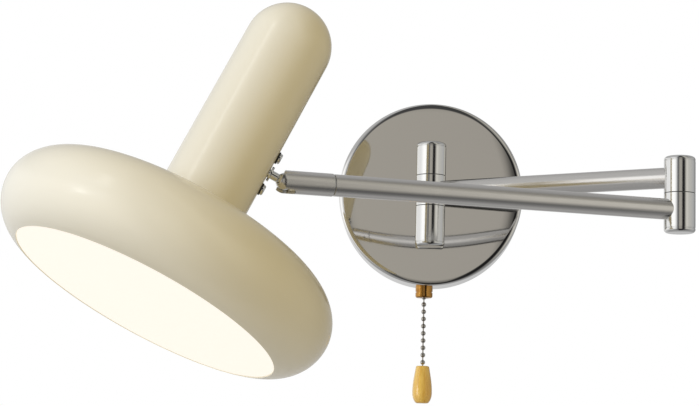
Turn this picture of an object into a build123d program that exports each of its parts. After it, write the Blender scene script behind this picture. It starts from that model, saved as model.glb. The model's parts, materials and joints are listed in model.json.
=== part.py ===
from build123d import *
import math
import os

# Swing arm wall lamp. The origin is the centre of the canopy's back, on the wall. X runs to the
# right along the wall, +Y runs into the wall and +Z is up, so the lamp stands out towards -Y.

# How far a cutter runs past the face it opens
OVERSHOOT = 1.0

# Cross-headed screws, as shares of their head's size
HEAD_ROUNDING = 0.6
RECESS_REACH = 0.55
RECESS_DEPTH = 0.45
RECESS_HALF_WIDTH = 0.35

# Canopy, the round cover on the wall
CANOPY_RADIUS = 60.0
CANOPY_DEPTH = 27.5
CANOPY_CROWN = 1.0
CANOPY_EDGE_RADIUS = 2.2
CANOPY_WALL = 1.2

# Mounting strap and wiring under the canopy
STRAP_THICKNESS = 2.0
STRAP_HALF_LENGTH = 54.0
STRAP_HALF_WIDTH = 12.0
TAB_OUTSIDE_X = 58.0
TAB_THICKNESS = 1.5
TAB_DEPTH = 14.0
TAB_HALF_WIDTH = 7.0
SLOT_SPACING = 88.0
SLOT_LENGTH = 12.0
SLOT_WIDTH = 4.6
SET_SCREW_RADIUS = 2.0
SET_SCREW_Y = -9.0
SET_SCREW_HEIGHTS = (54.0, 59.7)
EARTH_SCREW_X = -20.0
EARTH_HEAD_RADIUS = 3.8
EARTH_HEAD_HEIGHT = 2.4
EARTH_LUG_ROOM = 1.0
TERMINAL_X = (13.0, 21.0, 29.0)
TERMINAL_HALF_HEIGHT = 7.0
TERMINAL_HALF_LENGTH = 13.0
TERMINAL_FRONT = 13.0
TERMINAL_WIRE_HOLE = 1.6
TERMINAL_WIRE_HOLE_TOP = -2.0
TERMINAL_SCREW_RADIUS = 1.9
TERMINAL_SCREW_FOOT = 9.0
TERMINAL_SCREW_TOP = 12.0
WIRE_Y = -9.0
WIRE_BEND = 6.0
SWITCH_WIRE_HEIGHTS = (-36.0, -41.0)
FEED_WIRE_END_Y = -33.0
POST_WIRE_BOTTOM = -19.0
POST_WIRE_TOP = -1.5
STIFFENER_FRONT = 26.9
STIFFENER_THICKNESS = 1.5
STIFFENER_HALF_WIDTH = 11.0
STIFFENER_HALF_HEIGHT = 31.0

# Post in front of the canopy, and the elbow, both stacks of short barrels
POST_Y = -40.0
BARREL_RADIUS = 9.5
BARREL_HALF_HEIGHT = 9.8
WASHER_START = 9.85
WASHER_END = 10.15
CAP_HEIGHT = 3.0
CAP_EDGE_RADIUS = 2.2
CAP_GROOVE_DEPTH = 0.35
CAP_GROOVE_HEIGHT = 0.5
CAP_SPIGOT = 1.5
POST_TOP = 31.6
POST_BOTTOM = -36.0
POST_PIVOT_RADIUS = 5.0
POST_PIVOT_BORE = 3.5
POST_PIVOT_TOP = 26.5
POST_PIVOT_BOTTOM = -31.0
POST_WEB_ANGLE = 90.0
WINDOW_HALF_HEIGHT = 2.5
WINDOW_WEB = 3.2
WINDOW_REACH = 6.0
RUNNING_CLEARANCE = 0.04
WASHER_INSET = 0.3
STANDOFF_Z = 21.0
NIPPLE_RADIUS = 4.0
NIPPLE_BORE = 2.5
NIPPLE_BACK = 15.0
NIPPLE_FRONT = 34.8
COLLAR_RADIUS = 5.6
COLLAR_BACK = 28.5
NIPPLE_NUT_FLATS = 13.0
NIPPLE_NUT_HEIGHT = 5.0

# Arms
REAR_ARM_LENGTH = 170.0
REAR_ARM_ANGLE = -28.0
FRONT_ARM_LENGTH = 220.0
FRONT_ARM_ANGLE = -160.0
FRONT_ARM_Z = -20.0
TUBE_RADIUS = 6.35
TUBE_WALL = 1.0
TUBE_SEAT = 6.5
CABLE_HOLE = 2.6
CABLE_RADIUS = 1.6
THIN_CABLE_RADIUS = 1.2
SINGLE_WIRE_RADIUS = 0.8
ELBOW_TOP = 12.6
ELBOW_BOTTOM = -34.0
ELBOW_PIVOT_RADIUS = 4.0
ELBOW_PIVOT_BORE = 2.6
ELBOW_PIVOT_BOTTOM = -30.0
ELBOW_WEB_ANGLE = 17.5
ELBOW_CAVITY_RADIUS = 7.2
ELBOW_CAVITY_BOTTOM = 6.8
ELBOW_CLEARANCE = 0.1
ELBOW_NUT_WASHER = 0.4
ELBOW_NUT_WASHER_INSET = 0.5
ELBOW_NUT_FLATS = 12.0
ELBOW_NUT_TOP = 2.5
STACK_GAP = 0.05
RISER_INSET = 2.0
RISER_BOTTOM = 2.5

# Swivel sleeve with its ball cup, on the end of the front arm
SLEEVE_TO_BALL = 28.5
SLEEVE_RADIUS = 6.6
SLEEVE_BORE = 5.05
SLEEVE_ROLL = 20.0
SLEEVE_CHAMFER = 0.3
SEAM_WIDTH = 0.7
SEAM_RADIUS = 5.8
PLUG_DEPTH = 14.0
SPIGOT_RADIUS = 5.0
SPIGOT_LENGTH = 16.5
SPIGOT_GROOVE_RADIUS = 4.1
SPIGOT_GROOVE_WIDTH = 3.3
LOCK_SCREW_RADIUS = 1.5
LOCK_SCREW_OFFSET = 7.0
LOCK_SCREW_END = 6.4
BALL_RADIUS = 5.0
CUP_CUT_ANGLE = 25.0
CUP_CUT_DISTANCE = 2.3
CUP_SLOT_HALF_WIDTH = 2.85
CUP_SLOT_BACK = -6.2
SEAT_BORE = 2.0
SEAT_BACK = -10.2
SEAT_FRONT = -2.8
SEAT_CLEARANCE = 0.08
DISC_SPRING_STARTS = (-11.9, -11.35, -10.8)
DISC_SPRING_THICKNESS = 0.45
DISC_SPRING_RADIUS = 4.8
DISC_SPRING_BORE = 2.7

# Ball stud, measured from the ball's centre
STUD_TILT = 28.5
STUD_RADIUS = 2.5
STUD_BORE = 1.1
STUD_END = 21.0
STUD_FLANGE_RADIUS = 4.5
STUD_FLANGE_START = 8.3
STUD_FLANGE_END = 9.7
STUD_CLEARANCE = 0.06
STUD_WASHER_RADIUS = 4.8
STUD_WASHER_START = 15.1
STUD_WASHER_END = 15.95
STUD_NUT_FLATS = 8.0
STUD_NUT_START = 16.0
STUD_NUT_END = 19.8
BALL_TO_NECK = 10.0

# Head: a tall closed neck on a bun-shaped shade. Heights run up the neck from the stud
HEAD_SPIN = -14.5
NECK_RADIUS = 25.5
NECK_WALL = 1.5
NECK_TOP = 98.0
NECK_SCREW_Z = 10.5
NECK_SCREW_RADIUS = 1.9
NECK_SCREW_LENGTH = 5.8
NECK_SCREW_CLEARANCE = 0.2
NECK_SCREW_HEAD_RADIUS = 3.1
NECK_SCREW_HEAD_HEIGHT = 1.6
NECK_WASHER_RADIUS = 3.6
NECK_WASHER_RISE = 0.9
SWIVEL_PLATE_INSIDE = 20.5
SWIVEL_PLATE_HALF_WIDTH = 8.0
SWIVEL_PLATE_HALF_HEIGHT = 16.0
SHADE_RADIUS = 100.0
SHADE_WALL = 1.5
SHADE_WIDEST_Z = -75.0
SHADE_HALF_HEIGHT = 27.0
SHADE_SHOULDER = 68.0
SHADE_LOWER_CENTRE = 72.0
SHADE_TOP_RISE = 4.0
SHADE_COLLAR_FOOT = 31.6
SHADE_HOLE = 25.6
OPENING_RADIUS = 80.0
RING_TOP = -48.4
RING_THICKNESS = 2.0
RING_RADIUS = 46.0
RING_HOLE = 18.0
PILLAR_CIRCLE = 38.0
PILLAR_RADIUS = 3.5
PILLAR_THREAD_RADIUS = 1.5
PILLAR_THREAD_DEPTH = 6.0
SPREADER_SCREW_LENGTH = 8.0
SPREADER_SCREW_HEAD_RADIUS = 2.9
SPREADER_SCREW_HEAD_HEIGHT = 1.9
SPREADER_TOP = -74.0
SPREADER_THICKNESS = 3.0
SPREADER_RADIUS = 88.0
SPREADER_WIRE_HOLE = 5.0
BOARD_RADIUS = 70.0
BOARD_THICKNESS = 1.6
BOARD_SCREW_HOLE = 3.3
REFLECTOR_TOP_RADIUS = 71.0
REFLECTOR_BOTTOM_RADIUS = 79.0
REFLECTOR_WALL = 1.2
REFLECTOR_TOP_GAP = 0.1
REFLECTOR_BOTTOM_GAP = 2.0
LED_RINGS = ((16.0, 6), (28.0, 12), (50.0, 18), (64.0, 24))
LED_SIZE = 3.0
LED_HEIGHT = 0.8
DIFFUSER_FACE = -100.0
DIFFUSER_STEP = -97.0
DIFFUSER_BACK = -95.3
DIFFUSER_GAP = 0.5
DIFFUSER_EDGE_RADIUS = 0.6
DIFFUSER_FLANGE = 2.2
RETAINER_RADIUS = 84.5
RETAINER_BORE = 78.0
RETAINER_BOTTOM_GAP = 0.1
RETAINER_TOP_GAP = 1.9
DRIVER_BOTTOM = 20.0
DRIVER_TOP = 84.0
DRIVER_HALF_WIDTH = 13.0
DRIVER_HALF_DEPTH = 10.5
DRIVER_CORNER = 2.0
BRACKET_THICKNESS = 1.2
BRACKET_HALF_WIDTH = 8.0
BRACKET_FOOT = 20.0
HEAD_WIRE_START = 14.0
HEAD_WIRE_X = 4.0
HEAD_WIRE_Y = 0.2
LEAD_X = -2.0
LEAD_HALF_SPACING = 1.5
LEAD_RADIUS = 0.9

# Pull switch under the canopy, and its bead chain
SWITCH_X = -3.0
SWITCH_Y = -15.0
SWITCH_TOP = -30.0
SWITCH_BOTTOM = -55.5
SWITCH_HALF_WIDTH = 11.0
SWITCH_HALF_DEPTH = 8.0
PLUNGER_BORE = 3.0
PLUNGER_BORE_TOP = -42.0
PLUNGER_HEAD_RADIUS = 2.2
PLUNGER_HEAD_BOTTOM = -50.0
PLUNGER_HEAD_TOP = -48.0
PLUNGER_ROD_RADIUS = 0.6
NOZZLE_RADIUS = 4.5
NOZZLE_BORE = 2.6
NOZZLE_BOTTOM = -66.4
BUSH_RADIUS = 5.6
BUSH_TOP = -58.0
BUSH_BOTTOM = -67.2
BUSH_EDGE_RADIUS = 1.2
BUSH_GROOVE_BOTTOM = -63.9
BUSH_GROOVE_TOP = -63.1
BUSH_GROOVE_DEPTH = 0.5
BEAD_RADIUS = 1.6
BEAD_PITCH = 4.72
BEAD_COUNT = 9
TOP_BEAD_Z = -66.8
LINK_RADIUS = 0.45
PULL_TOP = -111.7
PULL_BOTTOM = -135.9
PULL_TOP_RADIUS = 4.4
PULL_TOP_EDGE = 1.0
PULL_RADIUS = 6.4
PULL_WIDEST_Z = -129.0
PULL_FOOT_RADIUS = 3.4
PULL_FLANK_SLOPE = 0.17
PULL_FOOT_SLOPE = 0.15
PULL_HOLE_DEPTH = 5.1

# Body frames, each carried by the one before
facing_room = Rot(90, 0, 0)
along_x = Rot(0, 90, 0)
wall_frame = Location((0, 0, 0))
post_frame = Pos(0, POST_Y, 0)
rear_frame = post_frame * Rot(0, 0, REAR_ARM_ANGLE)
elbow = (rear_frame * Pos(REAR_ARM_LENGTH, 0, 0)).position
front_frame = Pos(elbow.X, elbow.Y, FRONT_ARM_Z) * Rot(0, 0, FRONT_ARM_ANGLE)
ball_x = FRONT_ARM_LENGTH + SLEEVE_TO_BALL
sleeve_frame = front_frame * Pos(ball_x, 0, 0) * Rot(SLEEVE_ROLL, 0, 0)
stud_frame = sleeve_frame * Rot(0, -STUD_TILT, 0)
neck_distance = NECK_RADIUS + BALL_TO_NECK
head_frame = stud_frame * Pos(neck_distance, 0, 0) * Rot(HEAD_SPIN, 0, 0) * Rot(0, 0, 180)
switch_frame = Pos(SWITCH_X, SWITCH_Y, 0)


# Shared shapes

def turned(*edges):
    """Body turned about Z from a closed outline of radius and height."""
    return revolve(Plane.XZ * make_face(edges), Axis.Z)


def rod(radius, bottom, top):
    """Cylinder about Z between two heights."""
    return Pos(0, 0, (bottom + top) / 2) * Cylinder(radius, top - bottom)


def tube(radius, bore, bottom, top):
    """Hollow cylinder about Z between two heights."""
    return rod(radius, bottom, top) - rod(bore, bottom - OVERSHOOT, top + OVERSHOOT)


def block(low, high):
    """Box between two corners."""
    size = [b - a for a, b in zip(low, high)]
    middle = [(a + b) / 2 for a, b in zip(low, high)]
    return Pos(*middle) * Box(*size)


def hexagon(across_flats, bottom, top):
    """Hexagonal bar about Z."""
    outline = RegularPolygon(across_flats / 2, 6, major_radius=False)
    return Pos(0, 0, bottom) * extrude(outline, amount=top - bottom)


def pan_screw(shank_radius, shank_length, head_radius, head_height):
    """Screw about Z with a rounded head above zero, its shank below and a cross recess."""
    head = rod(head_radius, 0, head_height)
    head = fillet(head.edges().group_by(Axis.Z)[-1], head_height * HEAD_ROUNDING)
    arm = head_radius * RECESS_REACH
    floor = head_height * (1 - RECESS_DEPTH)
    recess = block(
        (-arm, -RECESS_HALF_WIDTH, floor),
        (arm, RECESS_HALF_WIDTH, head_height + OVERSHOOT),
    )
    head = head - recess - Rot(0, 0, 90) * recess
    return head + rod(shank_radius, -shank_length, 0)


def socket_screw(radius, bottom, top):
    """Headless screw about Z with a hexagon socket in its top end."""
    return rod(radius, bottom, top) - hexagon(radius, top - radius, top + OVERSHOOT)


def wire(points, bend, radius):
    """Round wire along straight runs with an arc at each corner."""
    path = FilletPolyline(*points, radius=bend)
    section = Plane(origin=path @ 0, z_dir=path % 0) * Circle(radius)
    return sweep(section, path=path)


def group(shapes):
    """Separate solids kept together as one sub-part."""
    solids = [solid for shape in shapes for solid in shape.solids()]
    return solids[0] if len(solids) == 1 else Compound(children=solids)


def ring_places(radius, count, first_angle=0.0):
    """Places evenly round a circle about Z."""
    return [Rot(0, 0, first_angle + i * 360 / count) * Pos(radius, 0, 0) for i in range(count)]


def standoff_places():
    """The two places on the canopy's face that carry the post, with Z facing the room."""
    return [facing_room * Pos(0, side * STANDOFF_Z, 0) for side in (1, -1)]


def cap():
    """Rounded end cap about Z with a fine groove where it meets its barrel, and a spigot."""
    top = rod(BARREL_RADIUS, CAP_GROOVE_HEIGHT, CAP_HEIGHT)
    top = fillet(top.edges().group_by(Axis.Z)[-1], CAP_EDGE_RADIUS)
    return top + rod(BARREL_RADIUS - CAP_GROOVE_DEPTH, 0, CAP_GROOVE_HEIGHT)


def window(web_angle, middle_z):
    """Cutter for a cable window round a hollow pivot that leaves one web standing."""
    low = middle_z - WINDOW_HALF_HEIGHT
    high = middle_z + WINDOW_HALF_HEIGHT
    web_end = WINDOW_REACH + OVERSHOOT
    web = Rot(0, 0, web_angle) * block((0, -WINDOW_WEB / 2, low), (web_end, WINDOW_WEB / 2, high))
    return block((-WINDOW_REACH, -WINDOW_REACH, low), (WINDOW_REACH, WINDOW_REACH, high)) - web


# Canopy and what it hides

def canopy_form(offset):
    """The canopy's outer form, drawn in by an offset, with Z facing the room."""
    radius = CANOPY_RADIUS - offset
    rim = CANOPY_DEPTH - offset
    flat_radius = CANOPY_RADIUS - CANOPY_EDGE_RADIUS
    edge = CANOPY_EDGE_RADIUS - offset
    corner = edge * (1 - math.sqrt(0.5))
    middle = rim + CANOPY_CROWN
    return turned(
        Line((0, 0), (radius, 0)),
        Line((radius, 0), (radius, rim - edge)),
        ThreePointArc((radius, rim - edge), (radius - corner, rim - corner), (flat_radius, rim)),
        TangentArc((0, middle), (flat_radius, rim), tangent=(1, 0)),
        Line((0, middle), (0, 0)),
    )


def side_places():
    """The two places of the set screws, with Z pointing out of the canopy's sides."""
    return [Pos(0, SET_SCREW_Y, 0) * Rot(0, side * 90, 0) for side in (1, -1)]


def canopy_cover():
    cover = facing_room * (canopy_form(0) - canopy_form(CANOPY_WALL))
    for place in standoff_places():
        cover -= place * rod(NIPPLE_RADIUS, STIFFENER_FRONT, -POST_Y)
    for place in side_places():
        cover -= place * rod(SET_SCREW_RADIUS, STRAP_HALF_LENGTH, CANOPY_RADIUS + OVERSHOOT)
    return cover - switch_frame * rod(NOZZLE_RADIUS, NOZZLE_BOTTOM, SWITCH_BOTTOM)


def mounting_strap():
    flat = block(
        (-STRAP_HALF_LENGTH, -STRAP_THICKNESS, -STRAP_HALF_WIDTH),
        (STRAP_HALF_LENGTH, 0, STRAP_HALF_WIDTH),
    )
    tie = block(
        (-TAB_OUTSIDE_X, -STRAP_THICKNESS, -TAB_HALF_WIDTH),
        (TAB_OUTSIDE_X, 0, TAB_HALF_WIDTH),
    )
    strap = flat + tie
    for side in (-1, 1):
        inside = side * (TAB_OUTSIDE_X - TAB_THICKNESS)
        xs = sorted((inside, side * TAB_OUTSIDE_X))
        strap += block((xs[0], -TAB_DEPTH, -TAB_HALF_WIDTH), (xs[1], 0, TAB_HALF_WIDTH))
        slot = extrude(SlotOverall(SLOT_LENGTH, SLOT_WIDTH), amount=TAB_DEPTH, both=True)
        strap -= Pos(side * SLOT_SPACING / 2, 0, 0) * facing_room * slot
    for place in side_places():
        strap -= place * rod(SET_SCREW_RADIUS, STRAP_HALF_LENGTH, CANOPY_RADIUS)
    hole = rod(SET_SCREW_RADIUS, -OVERSHOOT, STRAP_THICKNESS + OVERSHOOT)
    return strap - Pos(EARTH_SCREW_X, 0, 0) * facing_room * hole


def cover_set_screws():
    screw = socket_screw(SET_SCREW_RADIUS, *SET_SCREW_HEIGHTS)
    return group(place * screw for place in side_places())


def earth_screw():
    seat = STRAP_THICKNESS + EARTH_LUG_ROOM
    screw = pan_screw(SET_SCREW_RADIUS, seat, EARTH_HEAD_RADIUS, EARTH_HEAD_HEIGHT)
    return Pos(EARTH_SCREW_X, 0, 0) * facing_room * Pos(0, 0, seat) * screw


def terminal_block():
    start = TERMINAL_X[1] - TERMINAL_HALF_LENGTH
    end = TERMINAL_X[1] + TERMINAL_HALF_LENGTH
    body = block(
        (start, -TERMINAL_FRONT, -TERMINAL_HALF_HEIGHT),
        (end, -STRAP_THICKNESS, TERMINAL_HALF_HEIGHT),
    )
    bottom = -TERMINAL_HALF_HEIGHT - OVERSHOOT
    wire_hole = rod(TERMINAL_WIRE_HOLE, bottom, TERMINAL_WIRE_HOLE_TOP)
    screw_hole = rod(TERMINAL_SCREW_RADIUS, TERMINAL_SCREW_FOOT, TERMINAL_FRONT + OVERSHOOT)
    for x in TERMINAL_X:
        body -= Pos(x, WIRE_Y, 0) * wire_hole
        body -= Pos(x, 0, 0) * facing_room * screw_hole
    return body


def terminal_screws():
    screw = socket_screw(TERMINAL_SCREW_RADIUS, TERMINAL_SCREW_FOOT, TERMINAL_SCREW_TOP)
    return group(Pos(x, 0, 0) * facing_room * screw for x in TERMINAL_X)


def stiffener_plate():
    plate = block(
        (-STIFFENER_HALF_WIDTH, -STIFFENER_FRONT, -STIFFENER_HALF_HEIGHT),
        (STIFFENER_HALF_WIDTH, STIFFENER_THICKNESS - STIFFENER_FRONT, STIFFENER_HALF_HEIGHT),
    )
    for place in standoff_places():
        plate -= place * rod(NIPPLE_RADIUS, NIPPLE_BACK, -POST_Y)
    return plate


def pull_switch():
    body = block(
        (-SWITCH_HALF_WIDTH, -SWITCH_HALF_DEPTH, SWITCH_BOTTOM),
        (SWITCH_HALF_WIDTH, SWITCH_HALF_DEPTH, SWITCH_TOP),
    )
    return switch_frame * (body - rod(PLUNGER_BORE, SWITCH_BOTTOM - OVERSHOOT, PLUNGER_BORE_TOP))


def switch_nozzle():
    return switch_frame * tube(NOZZLE_RADIUS, NOZZLE_BORE, NOZZLE_BOTTOM, SWITCH_BOTTOM)


def brass_bush():
    bush = rod(BUSH_RADIUS, BUSH_BOTTOM, BUSH_TOP)
    bush = fillet(bush.edges().group_by(Axis.Z)[0], BUSH_EDGE_RADIUS)
    groove_bore = BUSH_RADIUS - BUSH_GROOVE_DEPTH
    bush -= tube(BUSH_RADIUS + OVERSHOOT, groove_bore, BUSH_GROOVE_BOTTOM, BUSH_GROOVE_TOP)
    bush -= rod(NOZZLE_RADIUS, NOZZLE_BOTTOM, SWITCH_BOTTOM)
    bush -= rod(NOZZLE_BORE, BUSH_BOTTOM - OVERSHOOT, SWITCH_BOTTOM)
    return switch_frame * bush - facing_room * rod(CANOPY_RADIUS, 0, CANOPY_DEPTH)


def canopy_wiring():
    x_feed, x_live, x_return = TERMINAL_X
    start = -TERMINAL_HALF_HEIGHT
    switch_side = SWITCH_X + SWITCH_HALF_WIDTH
    feed = [(x_feed, WIRE_Y, start), (x_feed, WIRE_Y, -STANDOFF_Z)]
    feed += [(0, WIRE_Y, -STANDOFF_Z), (0, FEED_WIRE_END_Y, -STANDOFF_Z)]
    wires = [wire(feed, WIRE_BEND, THIN_CABLE_RADIUS)]
    for x, z in zip((x_live, x_return), SWITCH_WIRE_HEIGHTS):
        route = [(x, WIRE_Y, start), (x, WIRE_Y, z), (switch_side, WIRE_Y, z)]
        wires.append(wire(route, WIRE_BEND, SINGLE_WIRE_RADIUS))
    wires.append(post_frame * rod(THIN_CABLE_RADIUS, POST_WIRE_BOTTOM, POST_WIRE_TOP))
    return group(wires)


# Post

def post_barrel(low, high, standoff, bore_reach):
    """Fixed barrel with a seat in its back for a nipple and a passage as deep as the reach."""
    barrel = post_frame * tube(BARREL_RADIUS, POST_PIVOT_RADIUS, low, high)
    barrel -= standoff * rod(NIPPLE_RADIUS, STIFFENER_FRONT, NIPPLE_FRONT)
    return barrel - standoff * rod(NIPPLE_BORE, STIFFENER_FRONT, bore_reach)


def post_upper_barrel():
    return post_barrel(WASHER_END, POST_TOP - CAP_HEIGHT, standoff_places()[0], NIPPLE_FRONT)


def post_lower_barrel():
    return post_barrel(POST_BOTTOM + CAP_HEIGHT, -WASHER_END, standoff_places()[1], -POST_Y)


def post_caps():
    plug = rod(POST_PIVOT_RADIUS, -CAP_SPIGOT, 0)
    upper = post_frame * Pos(0, 0, POST_TOP - CAP_HEIGHT) * (cap() + plug)
    lower = post_frame * Pos(0, 0, POST_BOTTOM + CAP_HEIGHT) * Rot(180, 0, 0) * (cap() + plug)
    return group([upper, lower])


def post_pivot_tube():
    pivot = tube(POST_PIVOT_RADIUS, POST_PIVOT_BORE, POST_PIVOT_BOTTOM, POST_PIVOT_TOP)
    pivot = post_frame * (pivot - window(POST_WEB_ANGLE, 0))
    return pivot - standoff_places()[1] * rod(NIPPLE_BORE, STIFFENER_FRONT, -POST_Y)


def post_washers():
    ring = tube(BARREL_RADIUS - WASHER_INSET, POST_PIVOT_RADIUS, WASHER_START, WASHER_END)
    return group([post_frame * ring, post_frame * Rot(180, 0, 0) * ring])


def post_nipples():
    nipple = tube(NIPPLE_RADIUS, NIPPLE_BORE, NIPPLE_BACK, NIPPLE_FRONT)
    return group(place * nipple for place in standoff_places())


def nipple_nuts():
    back = STIFFENER_FRONT - STIFFENER_THICKNESS
    nut = hexagon(NIPPLE_NUT_FLATS, back - NIPPLE_NUT_HEIGHT, back) - rod(NIPPLE_RADIUS, 0, -POST_Y)
    return group(place * nut for place in standoff_places())


def post_collars():
    collar = tube(COLLAR_RADIUS, NIPPLE_RADIUS, COLLAR_BACK, -POST_Y)
    barrel = post_frame * rod(BARREL_RADIUS, POST_BOTTOM, POST_TOP)
    return group(place * collar - barrel for place in standoff_places())


# Rear arm, along its own X from the post

def tube_socket(side):
    """Cutter for an arm tube's seat and its cable passage in a barrel, towards one side of X."""
    outside = BARREL_RADIUS + OVERSHOOT
    seat = rod(TUBE_RADIUS, TUBE_SEAT, outside) + rod(CABLE_HOLE, 0, outside)
    return Rot(0, side * 90, 0) * seat


def post_middle_barrel():
    bore = POST_PIVOT_RADIUS + RUNNING_CLEARANCE
    return tube(BARREL_RADIUS, bore, -BARREL_HALF_HEIGHT, BARREL_HALF_HEIGHT) - tube_socket(1)


def rear_tube():
    length = REAR_ARM_LENGTH - TUBE_SEAT
    return along_x * tube(TUBE_RADIUS, TUBE_RADIUS - TUBE_WALL, TUBE_SEAT, length)


def elbow_upper_barrel():
    top = ELBOW_TOP - CAP_HEIGHT
    bore = ELBOW_PIVOT_RADIUS + RUNNING_CLEARANCE
    barrel = tube(BARREL_RADIUS, bore, -BARREL_HALF_HEIGHT, top)
    barrel -= rod(ELBOW_CAVITY_RADIUS, ELBOW_CAVITY_BOTTOM, top + OVERSHOOT)
    return Pos(REAR_ARM_LENGTH, 0, 0) * (barrel - tube_socket(-1))


def elbow_top_cap():
    return Pos(REAR_ARM_LENGTH, 0, ELBOW_TOP - CAP_HEIGHT) * cap()


def rear_arm_cable():
    return along_x * rod(CABLE_RADIUS, TUBE_SEAT, REAR_ARM_LENGTH - TUBE_SEAT)


# Front arm, along its own X from the elbow, with Z measured from its tube

def elbow_lower_barrel():
    top = -WASHER_END - FRONT_ARM_Z
    bottom = ELBOW_BOTTOM + CAP_HEIGHT - FRONT_ARM_Z
    barrel = rod(BARREL_RADIUS, bottom, top)
    barrel -= rod(ELBOW_PIVOT_RADIUS, ELBOW_PIVOT_BOTTOM - FRONT_ARM_Z, top + OVERSHOOT)
    return barrel - tube_socket(1)


def elbow_bottom_cap():
    return Pos(0, 0, ELBOW_BOTTOM + CAP_HEIGHT - FRONT_ARM_Z) * Rot(180, 0, 0) * cap()


def elbow_pivot():
    bottom = ELBOW_PIVOT_BOTTOM - FRONT_ARM_Z
    top = ELBOW_TOP - CAP_HEIGHT - ELBOW_CLEARANCE - FRONT_ARM_Z
    pivot = tube(ELBOW_PIVOT_RADIUS, ELBOW_PIVOT_BORE, bottom, top)
    pivot -= window(ELBOW_WEB_ANGLE, -FRONT_ARM_Z)
    return pivot - along_x * rod(CABLE_HOLE, 0, BARREL_RADIUS)


def elbow_washer():
    ring = tube(BARREL_RADIUS - WASHER_INSET, ELBOW_PIVOT_RADIUS, -WASHER_END, -WASHER_START)
    return Pos(0, 0, -FRONT_ARM_Z) * ring


def elbow_nut():
    low = ELBOW_CAVITY_BOTTOM + ELBOW_CLEARANCE
    washer_radius = ELBOW_CAVITY_RADIUS - ELBOW_NUT_WASHER_INSET
    washer = tube(washer_radius, ELBOW_PIVOT_RADIUS, low, low + ELBOW_NUT_WASHER)
    nut = hexagon(ELBOW_NUT_FLATS, low + ELBOW_NUT_WASHER + STACK_GAP, low + ELBOW_NUT_TOP)
    nut -= rod(ELBOW_PIVOT_RADIUS, 0, ELBOW_TOP)
    return Pos(0, 0, -FRONT_ARM_Z) * group([washer, nut])


def front_tube():
    length = FRONT_ARM_LENGTH - SEAM_WIDTH
    return along_x * tube(TUBE_RADIUS, TUBE_RADIUS - TUBE_WALL, TUBE_SEAT, length)


def arm_end_spigot():
    plug_end = FRONT_ARM_LENGTH - SEAM_WIDTH
    spigot = rod(TUBE_RADIUS - TUBE_WALL, plug_end - PLUG_DEPTH, plug_end)
    seam_end = FRONT_ARM_LENGTH - STACK_GAP
    spigot += rod(SEAM_RADIUS, plug_end, seam_end)
    spigot += rod(SPIGOT_RADIUS, seam_end, FRONT_ARM_LENGTH + SPIGOT_LENGTH)
    groove_start = FRONT_ARM_LENGTH + LOCK_SCREW_OFFSET - SPIGOT_GROOVE_WIDTH / 2
    groove_end = groove_start + SPIGOT_GROOVE_WIDTH
    spigot -= tube(SPIGOT_RADIUS + OVERSHOOT, SPIGOT_GROOVE_RADIUS, groove_start, groove_end)
    return along_x * (spigot - rod(CABLE_HOLE, 0, FRONT_ARM_LENGTH + SPIGOT_LENGTH + OVERSHOOT))


def front_arm_cable():
    cable = along_x * rod(CABLE_RADIUS, TUBE_SEAT, FRONT_ARM_LENGTH + SPIGOT_LENGTH)
    riser = rod(THIN_CABLE_RADIUS, RISER_BOTTOM, -FRONT_ARM_Z - RISER_INSET)
    return group([cable, riser])


# Swivel sleeve, along its own X with the ball's centre at zero

sleeve_start = -SLEEVE_TO_BALL + STACK_GAP
lock_screw_place = Pos(LOCK_SCREW_OFFSET - SLEEVE_TO_BALL, 0, 0) * Rot(90, 0, 0)


def swivel_sleeve():
    sleeve = along_x * rod(SLEEVE_RADIUS, sleeve_start, 0)
    sleeve = chamfer(sleeve.edges().group_by(Axis.X)[0], SLEEVE_CHAMFER)
    sleeve += Sphere(SLEEVE_RADIUS)
    sleeve -= along_x * rod(SLEEVE_BORE, sleeve_start - OVERSHOOT, 0)
    sleeve -= Sphere(SLEEVE_BORE)
    outside = SLEEVE_RADIUS + OVERSHOOT
    beyond = block((CUP_CUT_DISTANCE, -outside, -outside), (2 * outside, outside, outside))
    sleeve -= Rot(0, -CUP_CUT_ANGLE, 0) * beyond
    slot_middle = CUP_SLOT_BACK + CUP_SLOT_HALF_WIDTH
    slot = block(
        (slot_middle, -CUP_SLOT_HALF_WIDTH, -outside),
        (outside, CUP_SLOT_HALF_WIDTH, 0),
    )
    slot += Pos(slot_middle, 0, 0) * rod(CUP_SLOT_HALF_WIDTH, -outside, 0)
    return sleeve - slot - lock_screw_place * rod(LOCK_SCREW_RADIUS, 0, outside)


def lock_screw():
    foot = SPIGOT_GROOVE_RADIUS + 2 * STACK_GAP
    return lock_screw_place * socket_screw(LOCK_SCREW_RADIUS, foot, LOCK_SCREW_END)


def ball_seat():
    seat = along_x * tube(SLEEVE_BORE - STACK_GAP, SEAT_BORE, SEAT_BACK, SEAT_FRONT)
    return seat - Sphere(BALL_RADIUS + SEAT_CLEARANCE)


def disc_springs():
    springs = []
    for start in DISC_SPRING_STARTS:
        end = start + DISC_SPRING_THICKNESS
        springs.append(along_x * tube(DISC_SPRING_RADIUS, DISC_SPRING_BORE, start, end))
    return group(springs)


# Ball stud, along its own X from the ball's centre

def ball_stud():
    stud = along_x * rod(STUD_RADIUS, 0, STUD_END) + Sphere(BALL_RADIUS)
    stud += along_x * rod(STUD_FLANGE_RADIUS, STUD_FLANGE_START, STUD_FLANGE_END)
    return stud - along_x * rod(STUD_BORE, -BALL_RADIUS - OVERSHOOT, STUD_END + OVERSHOOT)


def stud_nut():
    washer = tube(STUD_WASHER_RADIUS, STUD_RADIUS, STUD_WASHER_START, STUD_WASHER_END)
    nut = hexagon(STUD_NUT_FLATS, STUD_NUT_START, STUD_NUT_END) - rod(STUD_RADIUS, 0, STUD_END)
    return along_x * group([washer, nut])


# Head, about its own Z with the stud along +X at zero

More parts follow.
